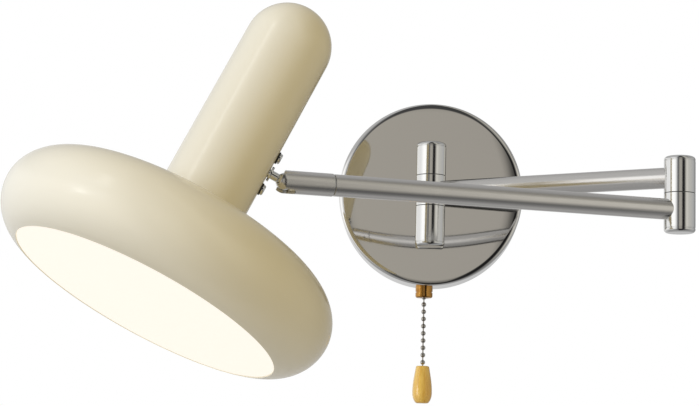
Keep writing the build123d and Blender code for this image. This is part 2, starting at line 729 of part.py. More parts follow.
def neck_screw_places():
    """The two screws beside the stud, with Z pointing out of the neck."""
    return [Pos(0, 0, side * NECK_SCREW_Z) * along_x for side in (1, -1)]


def neck_tube():
    inside = NECK_RADIUS - NECK_WALL
    dome_z = NECK_TOP - NECK_RADIUS
    diagonal = math.sqrt(0.5)
    outer_mid = (NECK_RADIUS * diagonal, dome_z + NECK_RADIUS * diagonal)
    inner_mid = (inside * diagonal, dome_z + inside * diagonal)
    neck = turned(
        Line((inside, RING_TOP), (NECK_RADIUS, RING_TOP)),
        Line((NECK_RADIUS, RING_TOP), (NECK_RADIUS, dome_z)),
        ThreePointArc((NECK_RADIUS, dome_z), outer_mid, (0, NECK_TOP)),
        Line((0, NECK_TOP), (0, NECK_TOP - NECK_WALL)),
        ThreePointArc((0, NECK_TOP - NECK_WALL), inner_mid, (inside, dome_z)),
        Line((inside, dome_z), (inside, RING_TOP)),
    )
    outside = NECK_RADIUS + OVERSHOOT
    for place in neck_screw_places():
        neck -= place * rod(NECK_SCREW_RADIUS + NECK_SCREW_CLEARANCE, SWIVEL_PLATE_INSIDE, outside)
    return neck - along_x * rod(STUD_RADIUS + STUD_CLEARANCE, SWIVEL_PLATE_INSIDE, outside)


def swivel_plate():
    inside = NECK_RADIUS - NECK_WALL
    plate = block(
        (SWIVEL_PLATE_INSIDE, -SWIVEL_PLATE_HALF_WIDTH, -SWIVEL_PLATE_HALF_HEIGHT),
        (inside + OVERSHOOT, SWIVEL_PLATE_HALF_WIDTH, SWIVEL_PLATE_HALF_HEIGHT),
    )
    plate &= rod(inside, -SWIVEL_PLATE_HALF_HEIGHT, SWIVEL_PLATE_HALF_HEIGHT)
    for place in neck_screw_places():
        plate -= place * rod(NECK_SCREW_RADIUS, 0, NECK_RADIUS)
    return plate - along_x * rod(STUD_RADIUS + STUD_CLEARANCE, 0, NECK_RADIUS)


def neck_screws():
    screw = pan_screw(
        NECK_SCREW_RADIUS, NECK_SCREW_LENGTH, NECK_SCREW_HEAD_RADIUS, NECK_SCREW_HEAD_HEIGHT
    )
    screw = Pos(0, 0, NECK_RADIUS + NECK_WASHER_RISE) * screw
    return group(place * screw for place in neck_screw_places())


def neck_screw_washers():
    low = NECK_RADIUS - OVERSHOOT
    high = NECK_RADIUS + NECK_WASHER_RISE
    washer = tube(NECK_WASHER_RADIUS, NECK_SCREW_RADIUS, low, high)
    neck = rod(NECK_RADIUS, -NECK_RADIUS, NECK_RADIUS)
    return group(place * washer - neck for place in neck_screw_places())


def shade_side(wall):
    """The bun's rounded side from its shoulder to its lip, drawn in by a wall."""
    high = SHADE_HALF_HEIGHT - wall
    upper_reach = SHADE_RADIUS - SHADE_SHOULDER - wall
    lower_reach = SHADE_RADIUS - SHADE_LOWER_CENTRE - wall
    lip_angle = math.degrees(math.acos((OPENING_RADIUS - SHADE_LOWER_CENTRE) / lower_reach))
    centre = (SHADE_SHOULDER, SHADE_WIDEST_Z)
    lower_centre = (SHADE_LOWER_CENTRE, SHADE_WIDEST_Z)
    upper = EllipticalCenterArc(centre, upper_reach, high, 0, arc_size=90)
    lower = EllipticalCenterArc(lower_centre, lower_reach, high, -lip_angle, arc_size=lip_angle)
    lip_z = SHADE_WIDEST_Z - high * math.sin(math.radians(lip_angle))
    return upper, lower, (OPENING_RADIUS, lip_z)


def shade_shell():
    upper, lower, lip = shade_side(0)
    upper_inside, lower_inside, lip_inside = shade_side(SHADE_WALL)
    shoulder = (SHADE_SHOULDER, SHADE_WIDEST_Z + SHADE_HALF_HEIGHT)
    foot = (SHADE_COLLAR_FOOT, shoulder[1] + SHADE_TOP_RISE)
    slope = 2 * math.atan(SHADE_TOP_RISE / (SHADE_SHOULDER - SHADE_COLLAR_FOOT))
    collar_radius = (SHADE_COLLAR_FOOT - SHADE_HOLE) / (1 - math.sin(slope))
    collar_top = (SHADE_HOLE, foot[1] + collar_radius * math.cos(slope))
    shoulder_inside = (SHADE_SHOULDER, shoulder[1] - SHADE_WALL)
    foot_inside = (SHADE_COLLAR_FOOT, foot[1] - SHADE_WALL)
    hole_inside = (SHADE_HOLE, foot[1] - SHADE_WALL)
    return turned(
        TangentArc(foot, collar_top, tangent=(-math.cos(slope), math.sin(slope))),
        TangentArc(shoulder, foot, tangent=(-1, 0)),
        upper,
        lower,
        Line(lip, lip_inside),
        lower_inside,
        upper_inside,
        TangentArc(shoulder_inside, foot_inside, tangent=(-1, 0)),
        Line(foot_inside, hole_inside),
        Line(hole_inside, collar_top),
    )


def pillar_places():
    return ring_places(PILLAR_CIRCLE, 3, 90)


def neck_ring():
    return tube(RING_RADIUS, RING_HOLE, RING_TOP - RING_THICKNESS, RING_TOP)


def support_pillars():
    pillar = rod(PILLAR_RADIUS, SPREADER_TOP, RING_TOP - RING_THICKNESS)
    thread_top = SPREADER_TOP + PILLAR_THREAD_DEPTH
    pillar -= rod(PILLAR_THREAD_RADIUS, SPREADER_TOP - OVERSHOOT, thread_top)
    return group(place * pillar for place in pillar_places())


def heat_spreader():
    bottom = SPREADER_TOP - SPREADER_THICKNESS
    spreader = tube(SPREADER_RADIUS, SPREADER_WIRE_HOLE, bottom, SPREADER_TOP)
    for place in pillar_places():
        spreader -= place * rod(PILLAR_THREAD_RADIUS, bottom - OVERSHOOT, SPREADER_TOP + OVERSHOOT)
    return spreader


def spreader_screws():
    bottom = SPREADER_TOP - SPREADER_THICKNESS
    screw = pan_screw(
        PILLAR_THREAD_RADIUS, SPREADER_SCREW_LENGTH,
        SPREADER_SCREW_HEAD_RADIUS, SPREADER_SCREW_HEAD_HEIGHT,
    )
    screw = Pos(0, 0, bottom) * Rot(180, 0, 0) * screw
    return group(place * screw for place in pillar_places())


def led_board():
    top = SPREADER_TOP - SPREADER_THICKNESS
    bottom = top - BOARD_THICKNESS
    board = rod(BOARD_RADIUS, bottom, top)
    for place in pillar_places():
        board -= place * rod(BOARD_SCREW_HOLE, bottom - OVERSHOOT, top + OVERSHOOT)
    return board


def leds():
    top = SPREADER_TOP - SPREADER_THICKNESS - BOARD_THICKNESS
    half = LED_SIZE / 2
    chip = block((-half, -half, top - LED_HEIGHT), (half, half, top))
    return group(place * chip for radius, count in LED_RINGS for place in ring_places(radius, count))


def reflector():
    top = SPREADER_TOP - SPREADER_THICKNESS - REFLECTOR_TOP_GAP
    bottom = DIFFUSER_BACK + REFLECTOR_BOTTOM_GAP
    outline = Polyline(
        (REFLECTOR_TOP_RADIUS, top),
        (REFLECTOR_TOP_RADIUS + REFLECTOR_WALL, top),
        (REFLECTOR_BOTTOM_RADIUS + REFLECTOR_WALL, bottom),
        (REFLECTOR_BOTTOM_RADIUS, bottom),
        close=True,
    )
    return turned(*outline.edges())


def diffuser():
    lens = rod(OPENING_RADIUS - DIFFUSER_GAP, DIFFUSER_FACE, DIFFUSER_STEP)
    lens = fillet(lens.edges().group_by(Axis.Z)[0], DIFFUSER_EDGE_RADIUS)
    return lens + rod(OPENING_RADIUS + DIFFUSER_FLANGE, DIFFUSER_STEP, DIFFUSER_BACK)


def diffuser_ring():
    bottom = DIFFUSER_BACK + RETAINER_BOTTOM_GAP
    return tube(RETAINER_RADIUS, RETAINER_BORE, bottom, DIFFUSER_BACK + RETAINER_TOP_GAP)


def driver():
    low = (-DRIVER_HALF_WIDTH, -DRIVER_HALF_DEPTH, DRIVER_BOTTOM)
    high = (DRIVER_HALF_WIDTH, DRIVER_HALF_DEPTH, DRIVER_TOP)
    case = block(low, high)
    return fillet(case.edges().filter_by(Axis.Z), DRIVER_CORNER)


def driver_bracket():
    corner = (-BRACKET_HALF_WIDTH, DRIVER_HALF_DEPTH, RING_TOP)
    strip = block(corner, (BRACKET_HALF_WIDTH, DRIVER_HALF_DEPTH + BRACKET_THICKNESS, DRIVER_TOP))
    return strip + block(corner, (BRACKET_HALF_WIDTH, BRACKET_FOOT, RING_TOP + BRACKET_THICKNESS))


def head_wiring():
    start = (HEAD_WIRE_START, HEAD_WIRE_Y, 0)
    corner = (HEAD_WIRE_X, HEAD_WIRE_Y, 0)
    end = (HEAD_WIRE_X, HEAD_WIRE_Y, DRIVER_BOTTOM)
    wires = [wire([start, corner, end], WIRE_BEND, SINGLE_WIRE_RADIUS)]
    board = SPREADER_TOP - SPREADER_THICKNESS
    for side in (-1, 1):
        lead = rod(LEAD_RADIUS, board, DRIVER_BOTTOM)
        wires.append(Pos(LEAD_X, side * LEAD_HALF_SPACING, 0) * lead)
    return group(wires)


# Pull chain, hanging from the nozzle

def switch_plunger():
    head = rod(PLUNGER_HEAD_RADIUS, PLUNGER_HEAD_BOTTOM, PLUNGER_HEAD_TOP)
    bottom = TOP_BEAD_Z + BEAD_RADIUS + STACK_GAP
    return switch_frame * (head + rod(PLUNGER_ROD_RADIUS, bottom, PLUNGER_HEAD_BOTTOM))


def chain_top_bead():
    return switch_frame * Pos(0, 0, TOP_BEAD_Z) * Sphere(BEAD_RADIUS)


def bead_chain():
    bottom = PULL_TOP - PULL_HOLE_DEPTH + 2 * STACK_GAP
    chain = rod(LINK_RADIUS, bottom, TOP_BEAD_Z - BEAD_RADIUS - STACK_GAP)
    for i in range(1, BEAD_COUNT + 1):
        chain += Pos(0, 0, TOP_BEAD_Z - i * BEAD_PITCH) * Sphere(BEAD_RADIUS)
    return switch_frame * chain


def wooden_pull():
    top_edge = (PULL_TOP_RADIUS - PULL_TOP_EDGE, PULL_TOP)
    shoulder = (PULL_TOP_RADIUS, PULL_TOP - PULL_TOP_EDGE)
    widest = (PULL_RADIUS, PULL_WIDEST_Z)
    foot = (PULL_FOOT_RADIUS, PULL_BOTTOM)
    pull = turned(
        Line((0, PULL_TOP), top_edge),
        TangentArc(top_edge, shoulder, tangent=(1, 0)),
        Spline(shoulder, widest, tangents=[(PULL_FLANK_SLOPE, -1), (0, -1)]),
        Spline(widest, foot, tangents=[(0, -1), (-1, -PULL_FOOT_SLOPE)]),
        Line(foot, (0, PULL_BOTTOM)),
        Line((0, PULL_BOTTOM), (0, PULL_TOP)),
    )
    hole = rod(LINK_RADIUS + STACK_GAP, PULL_TOP - PULL_HOLE_DEPTH, PULL_TOP + OVERSHOOT)
    return switch_frame * (pull - hole)


# Every sub-part, by the frame it is drawn in

BODY_PARTS = (
    (wall_frame, (
        canopy_cover, mounting_strap, cover_set_screws, earth_screw, terminal_block,
        terminal_screws, stiffener_plate, pull_switch, switch_nozzle, brass_bush, canopy_wiring,
        post_upper_barrel, post_lower_barrel, post_caps, post_pivot_tube, post_washers,
        post_nipples, nipple_nuts, post_collars,
        switch_plunger, chain_top_bead, bead_chain, wooden_pull,
    )),
    (rear_frame, (
        post_middle_barrel, rear_tube, elbow_upper_barrel, elbow_top_cap, rear_arm_cable,
    )),
    (front_frame, (
        elbow_lower_barrel, elbow_bottom_cap, elbow_pivot, elbow_washer, elbow_nut, front_tube,
        arm_end_spigot, front_arm_cable,
    )),
    (sleeve_frame, (swivel_sleeve, lock_screw, ball_seat, disc_springs)),
    (stud_frame, (ball_stud, stud_nut)),
    (head_frame, (
        neck_tube, swivel_plate, neck_screws, neck_screw_washers, shade_shell, neck_ring,
        support_pillars, heat_spreader, spreader_screws, led_board, leds, reflector, diffuser,
        diffuser_ring, driver, driver_bracket, head_wiring,
    )),
)

os.makedirs("parts", exist_ok=True)
for frame, makers in BODY_PARTS:
    for make in makers:
        export_step(group([frame * make()]), f"parts/{make.__name__}.step")
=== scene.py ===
"""Looks of the swing arm wall lamp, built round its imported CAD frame."""

import json
import math

import bpy
from mathutils import Matrix, Vector


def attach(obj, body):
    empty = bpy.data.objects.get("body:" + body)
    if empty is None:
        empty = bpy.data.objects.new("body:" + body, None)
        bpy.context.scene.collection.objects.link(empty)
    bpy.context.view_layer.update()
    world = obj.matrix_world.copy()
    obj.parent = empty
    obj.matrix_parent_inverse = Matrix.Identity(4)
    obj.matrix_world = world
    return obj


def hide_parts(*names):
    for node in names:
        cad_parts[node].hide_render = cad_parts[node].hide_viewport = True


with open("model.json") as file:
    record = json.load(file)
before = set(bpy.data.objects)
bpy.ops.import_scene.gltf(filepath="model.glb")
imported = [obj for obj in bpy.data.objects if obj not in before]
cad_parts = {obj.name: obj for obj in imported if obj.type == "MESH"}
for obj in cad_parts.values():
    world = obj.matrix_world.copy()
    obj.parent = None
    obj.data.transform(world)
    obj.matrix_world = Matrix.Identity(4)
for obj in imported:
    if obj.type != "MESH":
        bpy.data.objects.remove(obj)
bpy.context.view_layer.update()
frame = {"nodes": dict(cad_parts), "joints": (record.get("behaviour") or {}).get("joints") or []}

bl_info = {
    "name": "Swing Arm Wall Lamp",
    "version": (1, 0, 0),
    "blender": (4, 5, 0),
    "location": "View3D > Sidebar > Wall Lamp",
    "description": "Builds the finishes and fine pieces of a swing arm wall lamp",
    "category": "Add Mesh",
}

MM = 0.001
JOINTS = {joint["name"]: joint for joint in frame["joints"]}

# Sizes in millimetres. The CAD's are the same, but for the canopy's crown and edge, the diffuser's
# face and gap, the bush's top and the fine roundings, and but for the barrels, which have no holes
# for tubes here. Heights of a turned piece run along its own axis

CANOPY_RADIUS = 60.0
CANOPY_DEPTH = 27.5
CANOPY_FACE_RADIUS = 56.2
CANOPY_ROLL_RADIUS = 9.0
CANOPY_ROLL_ANGLE = 20.0
CANOPY_CROWN = 1.2
CANOPY_WALL = 1.2
CANOPY_SIDE_RING = 10.0
CANOPY_CROWN_STEPS = 36
# Heights between which holes are drilled: through the canopy's face, its rim, and the neck's wall
FACE_BORE = (20.0, 40.0)
RIM_BORE = (50.0, 70.0)
NECK_BORE = (20.0, 30.0)
STANDOFF_Z = 21.0
NIPPLE_RADIUS = 4.0
SET_SCREW_RADIUS = 2.0
SET_SCREW_DEPTH = 9.0
COLLAR_RADIUS = 5.6
COLLAR_BACK = 28.5
COLLAR_FRONT = 33.5

BARREL_RADIUS = 9.5
BARREL_HALF_HEIGHT = 9.8
WASHER_END = 10.15
SEAM_SOFTENING = 0.12
CAP_HEIGHT = 3.0
CAP_EDGE_RADIUS = 2.2
CAP_GROOVE_DEPTH = 0.35
CAP_GROOVE_HEIGHT = 0.5
CAP_CORNER = 0.15
CAP_SPIGOT = 1.5
POST_TOP = 31.6
POST_BOTTOM = -36.0
POST_BORE = 5.0
ELBOW_TOP = 12.6
ELBOW_BOTTOM = -34.0
ELBOW_BORE = 4.0
ELBOW_PIVOT_BOTTOM = -30.0
ELBOW_CAVITY_RADIUS = 7.2
ELBOW_CAVITY_BOTTOM = 6.8
RUNNING_CLEARANCE = 0.04

REAR_ARM_LENGTH = 170.0
FRONT_ARM_LENGTH = 220.0
TUBE_RADIUS = 6.35
TUBE_WALL = 1.0
TUBE_SEAT = 6.5
TUBE_END_SOFTENING = 0.2
SEAM_WIDTH = 0.7

SLEEVE_TO_BALL = 28.5
SLEEVE_RADIUS = 6.6
SLEEVE_BORE = 5.05
SLEEVE_START = -28.45
CUP_CUT_ANGLE = 25.0
CUP_CUT_DISTANCE = 2.3
CUP_ARC = 60.0
CUP_SLOT_HALF_WIDTH = 2.85
CUP_SLOT_BACK = -6.2
CUP_CUT_REACH = 10.0
LOCK_SCREW_RADIUS = 1.5
LOCK_SCREW_OFFSET = 7.0
BALL_RADIUS = 5.0
STUD_RADIUS = 2.5
STUD_END = 21.0
STUD_FLANGE_RADIUS = 4.5
STUD_FLANGE_START = 8.3
STUD_FLANGE_END = 9.7
STUD_HOLE_RADIUS = 2.56
# Angles where the ball and the neck's dome stop, short of the point that closes them
BALL_POLE = -86
NECK_POLE = 88

NECK_RADIUS = 25.5
NECK_WALL = 1.5
NECK_TOP = 98.0
NECK_BOTTOM = -48.4
NECK_SCREW_Z = 10.5
NECK_SCREW_HOLE_RADIUS = 2.1
NECK_RINGS = (20.0, 14.0, 8.0, 4.0, -4.0, -8.0, -14.0, -20.0)
SHADE_WALL = 1.5
SHADE_WIDEST_Z = -75.0
SHADE_RADIUS = 100.0
SHADE_HALF_HEIGHT = 27.0
SHADE_SHOULDER = 68.0
SHADE_LOWER_CENTRE = 72.0
SHADE_TOP_RISE = 4.0
SHADE_COLLAR_FOOT = 31.6
SHADE_HOLE = 25.6
OPENING_RADIUS = 80.0
DIFFUSER_FACE = -100.6
DIFFUSER_STEP = -97.0
DIFFUSER_BACK = -95.3
DIFFUSER_GAP = 0.2
DIFFUSER_EDGE_RADIUS = 0.6
DIFFUSER_FLANGE = 2.2

SWITCH_X = -3.0
SWITCH_Y = -15.0
NOZZLE_RADIUS = 4.5
NOZZLE_BORE = 2.6
NOZZLE_BOTTOM = -66.4
BUSH_RADIUS = 5.6
BUSH_TOP = -59.0
BUSH_BOTTOM = -67.2
BUSH_EDGE_RADIUS = 1.2
BUSH_GROOVE_BOTTOM = -63.9
BUSH_GROOVE_TOP = -63.1
BUSH_GROOVE_DEPTH = 0.5
BEAD_RADIUS = 1.6
BEAD_PITCH = 4.72
BEAD_COUNT = 9
BEAD_ARC = 70.0
BEAD_DIMPLE = 1.3
BEAD_COLLAR = 1.5
TOP_BEAD_Z = -66.8
LINK_RADIUS = 0.45
STACK_GAP = 0.05
PULL_TOP = -111.7
PULL_BOTTOM = -135.9
PULL_TOP_RADIUS = 4.4
PULL_TOP_EDGE = 1.0
PULL_RADIUS = 6.4
PULL_WIDEST_Z = -129.0
PULL_FOOT_RADIUS = 3.4
PULL_FLANK_SLOPE = 0.17
PULL_FOOT_SLOPE = 0.15
# How much of the flank's and the foot's curve keeps the direction of its end
PULL_FLANK_SHARE = 0.36
PULL_FOOT_SHARE = 0.5

# Faces round the turned pieces
WIDE_SEGMENTS = 192
SEGMENTS = 128
NARROW_SEGMENTS = 96
BUSH_SEGMENTS = 64
DRILL_SEGMENTS = 48
BEAD_SEGMENTS = 24
MERGE_DISTANCE = 1e-6
SMOOTH_BELOW_DEGREES = 38

# Where the moving groups stand, all from the frame's joints. Each has its own X, Y and Z as in the
# CAD: X along an arm or stud, and the head's Z up its neck


def standing(origin, x_axis, y_axis):
    """Matrix of a group from its origin and two of its directions."""
    x = Vector(x_axis).normalized()
    z = x.cross(Vector(y_axis)).normalized()
    y = z.cross(x)
    columns = Matrix((x, y, z)).transposed().to_4x4()
    return Matrix.Translation(origin) @ columns


def turn(degrees, axis):
    return Matrix.Rotation(math.radians(degrees), 4, axis)


def shift(x, y, z):
    """Matrix that moves by millimetres."""
    return Matrix.Translation((x * MM, y * MM, z * MM))


HEAD_SPIN = -14.5
SLEEVE_ROLL = 20.0
BALL = Vector(JOINTS["ball_tilt"]["pos_m"])
ARM_END_AXIS = Vector(JOINTS["sleeve_roll"]["axis"])
STUD_AXIS = -Vector(JOINTS["head_spin"]["axis"])
STUD_SIDE = Vector(JOINTS["ball_tilt"]["axis"])
POST = Vector(JOINTS["rear_arm_swing"]["pos_m"])
ELBOW = Vector(JOINTS["elbow_swing"]["pos_m"])

UP = Vector((0, 0, 1))
ALONG_X = turn(90, "Y")
WALL = turn(90, "X")
POST_STAND = Matrix.Translation(POST)
REAR_ARM = standing(POST, ELBOW - POST, UP.cross(ELBOW - POST))
ELBOW_STAND = Matrix.Translation(ELBOW)
FRONT_ARM = standing(Vector((ELBOW.x, ELBOW.y, BALL.z)), ARM_END_AXIS, UP.cross(ARM_END_AXIS))
SLEEVE = standing(BALL, ARM_END_AXIS, UP.cross(ARM_END_AXIS)) @ turn(SLEEVE_ROLL, "X")
STUD = standing(BALL, STUD_AXIS, STUD_SIDE)
HEAD = (
    Matrix.Translation(Vector(JOINTS["head_spin"]["pos_m"]) - BALL)
    @ STUD
    @ turn(HEAD_SPIN, "X")
    @ turn(180, "Z")
)
PULL = shift(SWITCH_X, SWITCH_Y, 0)


# Colours and shader nodes


def linear(hex_colour):
    """Linear colour with alpha from an sRGB hex value."""
    channels = [int(hex_colour[i : i + 2], 16) / 255 for i in (1, 3, 5)]
    steps = [c / 12.92 if c <= 0.04045 else ((c + 0.055) / 1.055) ** 2.4 for c in channels]
    return (*steps, 1.0)


def new_material(name):
    """An empty node material, its principled shader and its object coordinates."""
    material = bpy.data.materials.new(name)
    material.use_nodes = True
    shader = material.node_tree.nodes["Principled BSDF"]
    place = add_node(material, "ShaderNodeTexCoord").outputs["Object"]
    return material, shader, place


def set_inputs(owner, node, inputs):
    """Sets a node's inputs, or links them where a value is another node's output."""
    for name, value in inputs.items():
        if isinstance(value, bpy.types.NodeSocket):
            owner.node_tree.links.new(value, node.inputs[name])
        else:
            node.inputs[name].default_value = value


def add_node(owner, kind, settings=None, inputs=None, stops=()):
    """Adds one node with its settings, its inputs set or linked, and any colour ramp's stops."""
    node = owner.node_tree.nodes.new(kind)
    for name, value in (settings or {}).items():
        setattr(node, name, value)
    set_inputs(owner, node, inputs or {})
    for i, (position, colour) in enumerate(stops):
        elements = node.color_ramp.elements
        element = elements[i] if i < 2 else elements.new(position)
        element.position = position
        element.color = linear(colour)
    return node


def per_grain(size_mm):
    """Scale of a texture whose grains have a real size."""
    return 1 / (size_mm * MM)


# Materials, each named for the real one


def plated_metal(name, colour, haze_mm, detail, shine):
    """Plated metal of one colour, its roughness varied between two values by a soft haze."""
    material, shader, place = new_material(name)
    haze = add_node(
        material, "ShaderNodeTexNoise",
        inputs={"Vector": place, "Scale": per_grain(haze_mm), "Detail": detail},
    ).outputs["Fac"]
    gloss = add_node(
        material, "ShaderNodeMapRange", inputs={"Value": haze, "To Min": shine[0], "To Max": shine[1]}
    ).outputs["Result"]
    set_inputs(material, shader, {"Base Color": linear(colour), "Metallic": 1.0, "Roughness": gloss})
    return material


def polished_chrome():
    """Chrome plate on polished steel: a neutral mirror, with a trace of haze from handling."""
    return plated_metal("polished_chrome", "#E3E2E0", 14.0, 3.0, (0.02, 0.07))


def drawn_tube_chrome():
    """Chrome plate on drawn tube: the mirror is a little softened by what is left of the drawing."""
    return plated_metal("drawn_tube_chrome", "#DFDDDA", 9.0, 3.0, (0.20, 0.28))


def nickel_plate():
    """Nickel plated steel of the bead chain: a slightly warm grey mirror, unevenly dulled."""
    return plated_metal("nickel_plate", "#BDB9B2", 1.5, 2.0, (0.12, 0.28))


def cream_enamel(colour):
    """Sprayed and baked enamel on spun aluminium: an even satin cream with a fine orange peel."""
    material, shader, place = new_material("cream_enamel")
    cloud = add_node(
        material, "ShaderNodeTexNoise", inputs={"Vector": place, "Scale": per_grain(60.0), "Detail": 2.0}
    ).outputs["Fac"]
    tint = add_node(
        material, "ShaderNodeMix", {"data_type": "RGBA"}, {
            "Factor": cloud,
            "A": tuple(c * 0.985 for c in colour[:3]) + (1.0,),
            "B": tuple(min(1.0, c * 1.01) for c in colour[:3]) + (1.0,),
        }
    ).outputs["Result"]
    gloss = add_node(
        material, "ShaderNodeMapRange", inputs={"Value": cloud, "To Min": 0.38, "To Max": 0.44}
    ).outputs["Result"]
    peel = add_node(
        material, "ShaderNodeTexNoise", inputs={"Vector": place, "Scale": per_grain(1.1), "Detail": 1.0}
    ).outputs["Fac"]
    normal = add_node(
        material, "ShaderNodeBump", inputs={"Height": peel, "Distance": 0.010 * MM}
    ).outputs["Normal"]
    set_inputs(material, shader, {
        "Base Color": tint,
        "Roughness": gloss,
        "IOR": 1.5,
        "Coat Weight": 0.7,
        "Coat Roughness": 0.14,
        "Normal": normal,
    })
    return material


def opal_acrylic(colour):
    """Opal acrylic sheet lit from behind: an even warm white glow with a finely frosted face."""
    material, shader, place = new_material("opal_acrylic")
    frost = add_node(
        material, "ShaderNodeTexNoise", inputs={"Vector": place, "Scale": per_grain(0.6), "Detail": 1.0}
    ).outputs["Fac"]
    normal = add_node(
        material, "ShaderNodeBump", inputs={"Height": frost, "Distance": 0.004 * MM}
    ).outputs["Normal"]
    set_inputs(material, shader, {
        "Base Color": linear("#8F8D86"),
        "Roughness": 0.45,
        "IOR": 1.49,
        "Emission Color": colour,
        "Emission Strength": 0.80,
        "Normal": normal,
    })
    return material


def mottled_metal(name, stops, blotch_mm, shine):
    """Metal whose colour and roughness vary together in soft blotches."""
    material, shader, place = new_material(name)
    blotch = add_node(
        material, "ShaderNodeTexNoise",
        inputs={"Vector": place, "Scale": per_grain(blotch_mm), "Detail": 4.0},
    ).outputs["Fac"]
    colour = add_node(
        material, "ShaderNodeValToRGB", inputs={"Fac": blotch}, stops=stops
    ).outputs["Color"]
    gloss = add_node(
        material, "ShaderNodeMapRange", inputs={"Value": blotch, "To Min": shine[0], "To Max": shine[1]}
    ).outputs["Result"]
    set_inputs(material, shader, {"Base Color": colour, "Metallic": 1.0, "Roughness": gloss})
    return material


def polished_brass():
    """Turned brass, polished and lacquered: a warm mirror with a brown cast where it has aged."""
    return mottled_metal("polished_brass", [(0.35, "#AC783A"), (0.65, "#C6954E")], 3.0, (0.12, 0.20))


def zinc_plate():
    """Zinc plated steel: a dull blue-grey metal with the plating's soft blotches."""
    return mottled_metal("zinc_plate", [(0.3, "#A9ABAC"), (0.7, "#C6C8C7")], 4.0, (0.28, 0.46))


def turned_beech(light, dark):
    """Turned and lacquered beech: honey wood whose grain runs down the pull, with short dark flecks."""
    material, shader, place = new_material("turned_beech")
    down_the_pull = add_node(
        material, "ShaderNodeMapping", inputs={"Vector": place, "Scale": (1.0, 1.0, 0.11)}
    ).outputs["Vector"]
    band = add_node(
        material, "ShaderNodeTexNoise",
        inputs={"Vector": down_the_pull, "Scale": per_grain(2.2), "Detail": 3.0},
    ).outputs["Fac"]
    fleck = add_node(
        material, "ShaderNodeTexNoise",
        inputs={"Vector": down_the_pull, "Scale": per_grain(0.35), "Detail": 2.0},
    ).outputs["Fac"]
    figure = add_node(
        material, "ShaderNodeMath", {"operation": "MULTIPLY_ADD"}, {0: fleck, 1: 0.35, 2: band}
    ).outputs[0]
    share = add_node(
        material, "ShaderNodeMapRange", inputs={"Value": figure, "From Min": 0.48, "From Max": 0.86}
    ).outputs["Result"]
    wood = add_node(
        material, "ShaderNodeMix", {"data_type": "RGBA"}, {"Factor": share, "A": dark, "B": light}
    ).outputs["Result"]
    normal = add_node(
        material, "ShaderNodeBump", inputs={"Height": fleck, "Distance": 0.003 * MM}
    ).outputs["Normal"]
    set_inputs(material, shader, {
        "Base Color": wood,
        "Roughness": 0.33,
        "IOR": 1.5,
        "Coat Weight": 1.0,
        "Coat Roughness": 0.22,
        "Normal": normal,
    })
    return material


def rolled_aluminium():
    """Rolled aluminium sheet: pale grey, with fine rolling lines that stretch its highlights."""
    material, shader, place = new_material("rolled_aluminium")
    across = add_node(
        material, "ShaderNodeMapping", inputs={"Vector": place, "Scale": (1.0, 0.03, 1.0)}
    ).outputs["Vector"]
    lines = add_node(
        material, "ShaderNodeTexNoise", inputs={"Vector": across, "Scale": per_grain(0.5), "Detail": 2.0}
    ).outputs["Fac"]
    gloss = add_node(
        material, "ShaderNodeMapRange", inputs={"Value": lines, "To Min": 0.30, "To Max": 0.44}
    ).outputs["Result"]
    normal = add_node(
        material, "ShaderNodeBump", inputs={"Height": lines, "Distance": 0.01 * MM}
    ).outputs["Normal"]
    set_inputs(material, shader, {
        "Base Color": linear("#CDCFD1"),
        "Metallic": 1.0,
        "Roughness": gloss,
        "Normal": normal,
    })
    return material


def moulded_plastic(name, low, high):
    """Moulded nylon, phenolic or solder mask: matt plastic with the mould's fine spark texture."""
    material, shader, place = new_material(name)
    grain = add_node(
        material, "ShaderNodeTexNoise", inputs={"Vector": place, "Scale": per_grain(0.5), "Detail": 2.0}
    ).outputs["Fac"]
    colour = add_node(
        material, "ShaderNodeValToRGB", inputs={"Fac": grain}, stops=[(0.3, low), (0.7, high)]
    ).outputs["Color"]
    gloss = add_node(
        material, "ShaderNodeMapRange", inputs={"Value": grain, "To Min": 0.52, "To Max": 0.64}
    ).outputs["Result"]
    normal = add_node(
        material, "ShaderNodeBump", inputs={"Height": grain, "Distance": 0.02 * MM}
    ).outputs["Normal"]
    set_inputs(material, shader, {
        "Base Color": colour,
        "Roughness": gloss,
        "IOR": 1.53,
        "Normal": normal,
    })
    return material


def pvc_wire_sheath():
    """Extruded PVC wire sheath: smooth pale plastic with faint cloudy streaks from the die."""
    material, shader, place = new_material("pvc_wire_sheath")
    streak = add_node(
        material, "ShaderNodeTexNoise", inputs={"Vector": place, "Scale": per_grain(1.2), "Detail": 1.0}
    ).outputs["Fac"]
    colour = add_node(
        material, "ShaderNodeValToRGB", inputs={"Fac": streak},
        stops=[(0.3, "#D2D0C9"), (0.7, "#E2E0DA")],
    ).outputs["Color"]
    set_inputs(material, shader, {"Base Color": colour, "Roughness": 0.42, "IOR": 1.53})
    return material


def led_phosphor():
    """Phosphor over a blue chip: a matt yellow face that glows when lit."""
    material, shader, place = new_material("led_phosphor")
    grain = add_node(
        material, "ShaderNodeTexNoise", inputs={"Vector": place, "Scale": per_grain(0.3), "Detail": 1.0}
    ).outputs["Fac"]
    colour = add_node(
        material, "ShaderNodeValToRGB", inputs={"Fac": grain},
        stops=[(0.3, "#E3BE3C"), (0.7, "#F0D05A")],
    ).outputs["Color"]
    set_inputs(material, shader, {
        "Base Color": colour,
        "Roughness": 0.5,
        "Emission Color": linear("#FFE9B0"),
        "Emission Strength": 0.6,
    })
    return material


# Modelling by hand


def start_clean():
    """Leaves object mode with nothing selected, so that an operator acts on the new piece alone."""
    if bpy.context.object and bpy.context.object.mode != "OBJECT":
        bpy.ops.object.mode_set(mode="OBJECT")
    bpy.ops.object.select_all(action="DESELECT")


def make_active(piece):
    start_clean()
    piece.select_set(True)
    bpy.context.view_layer.objects.active = piece


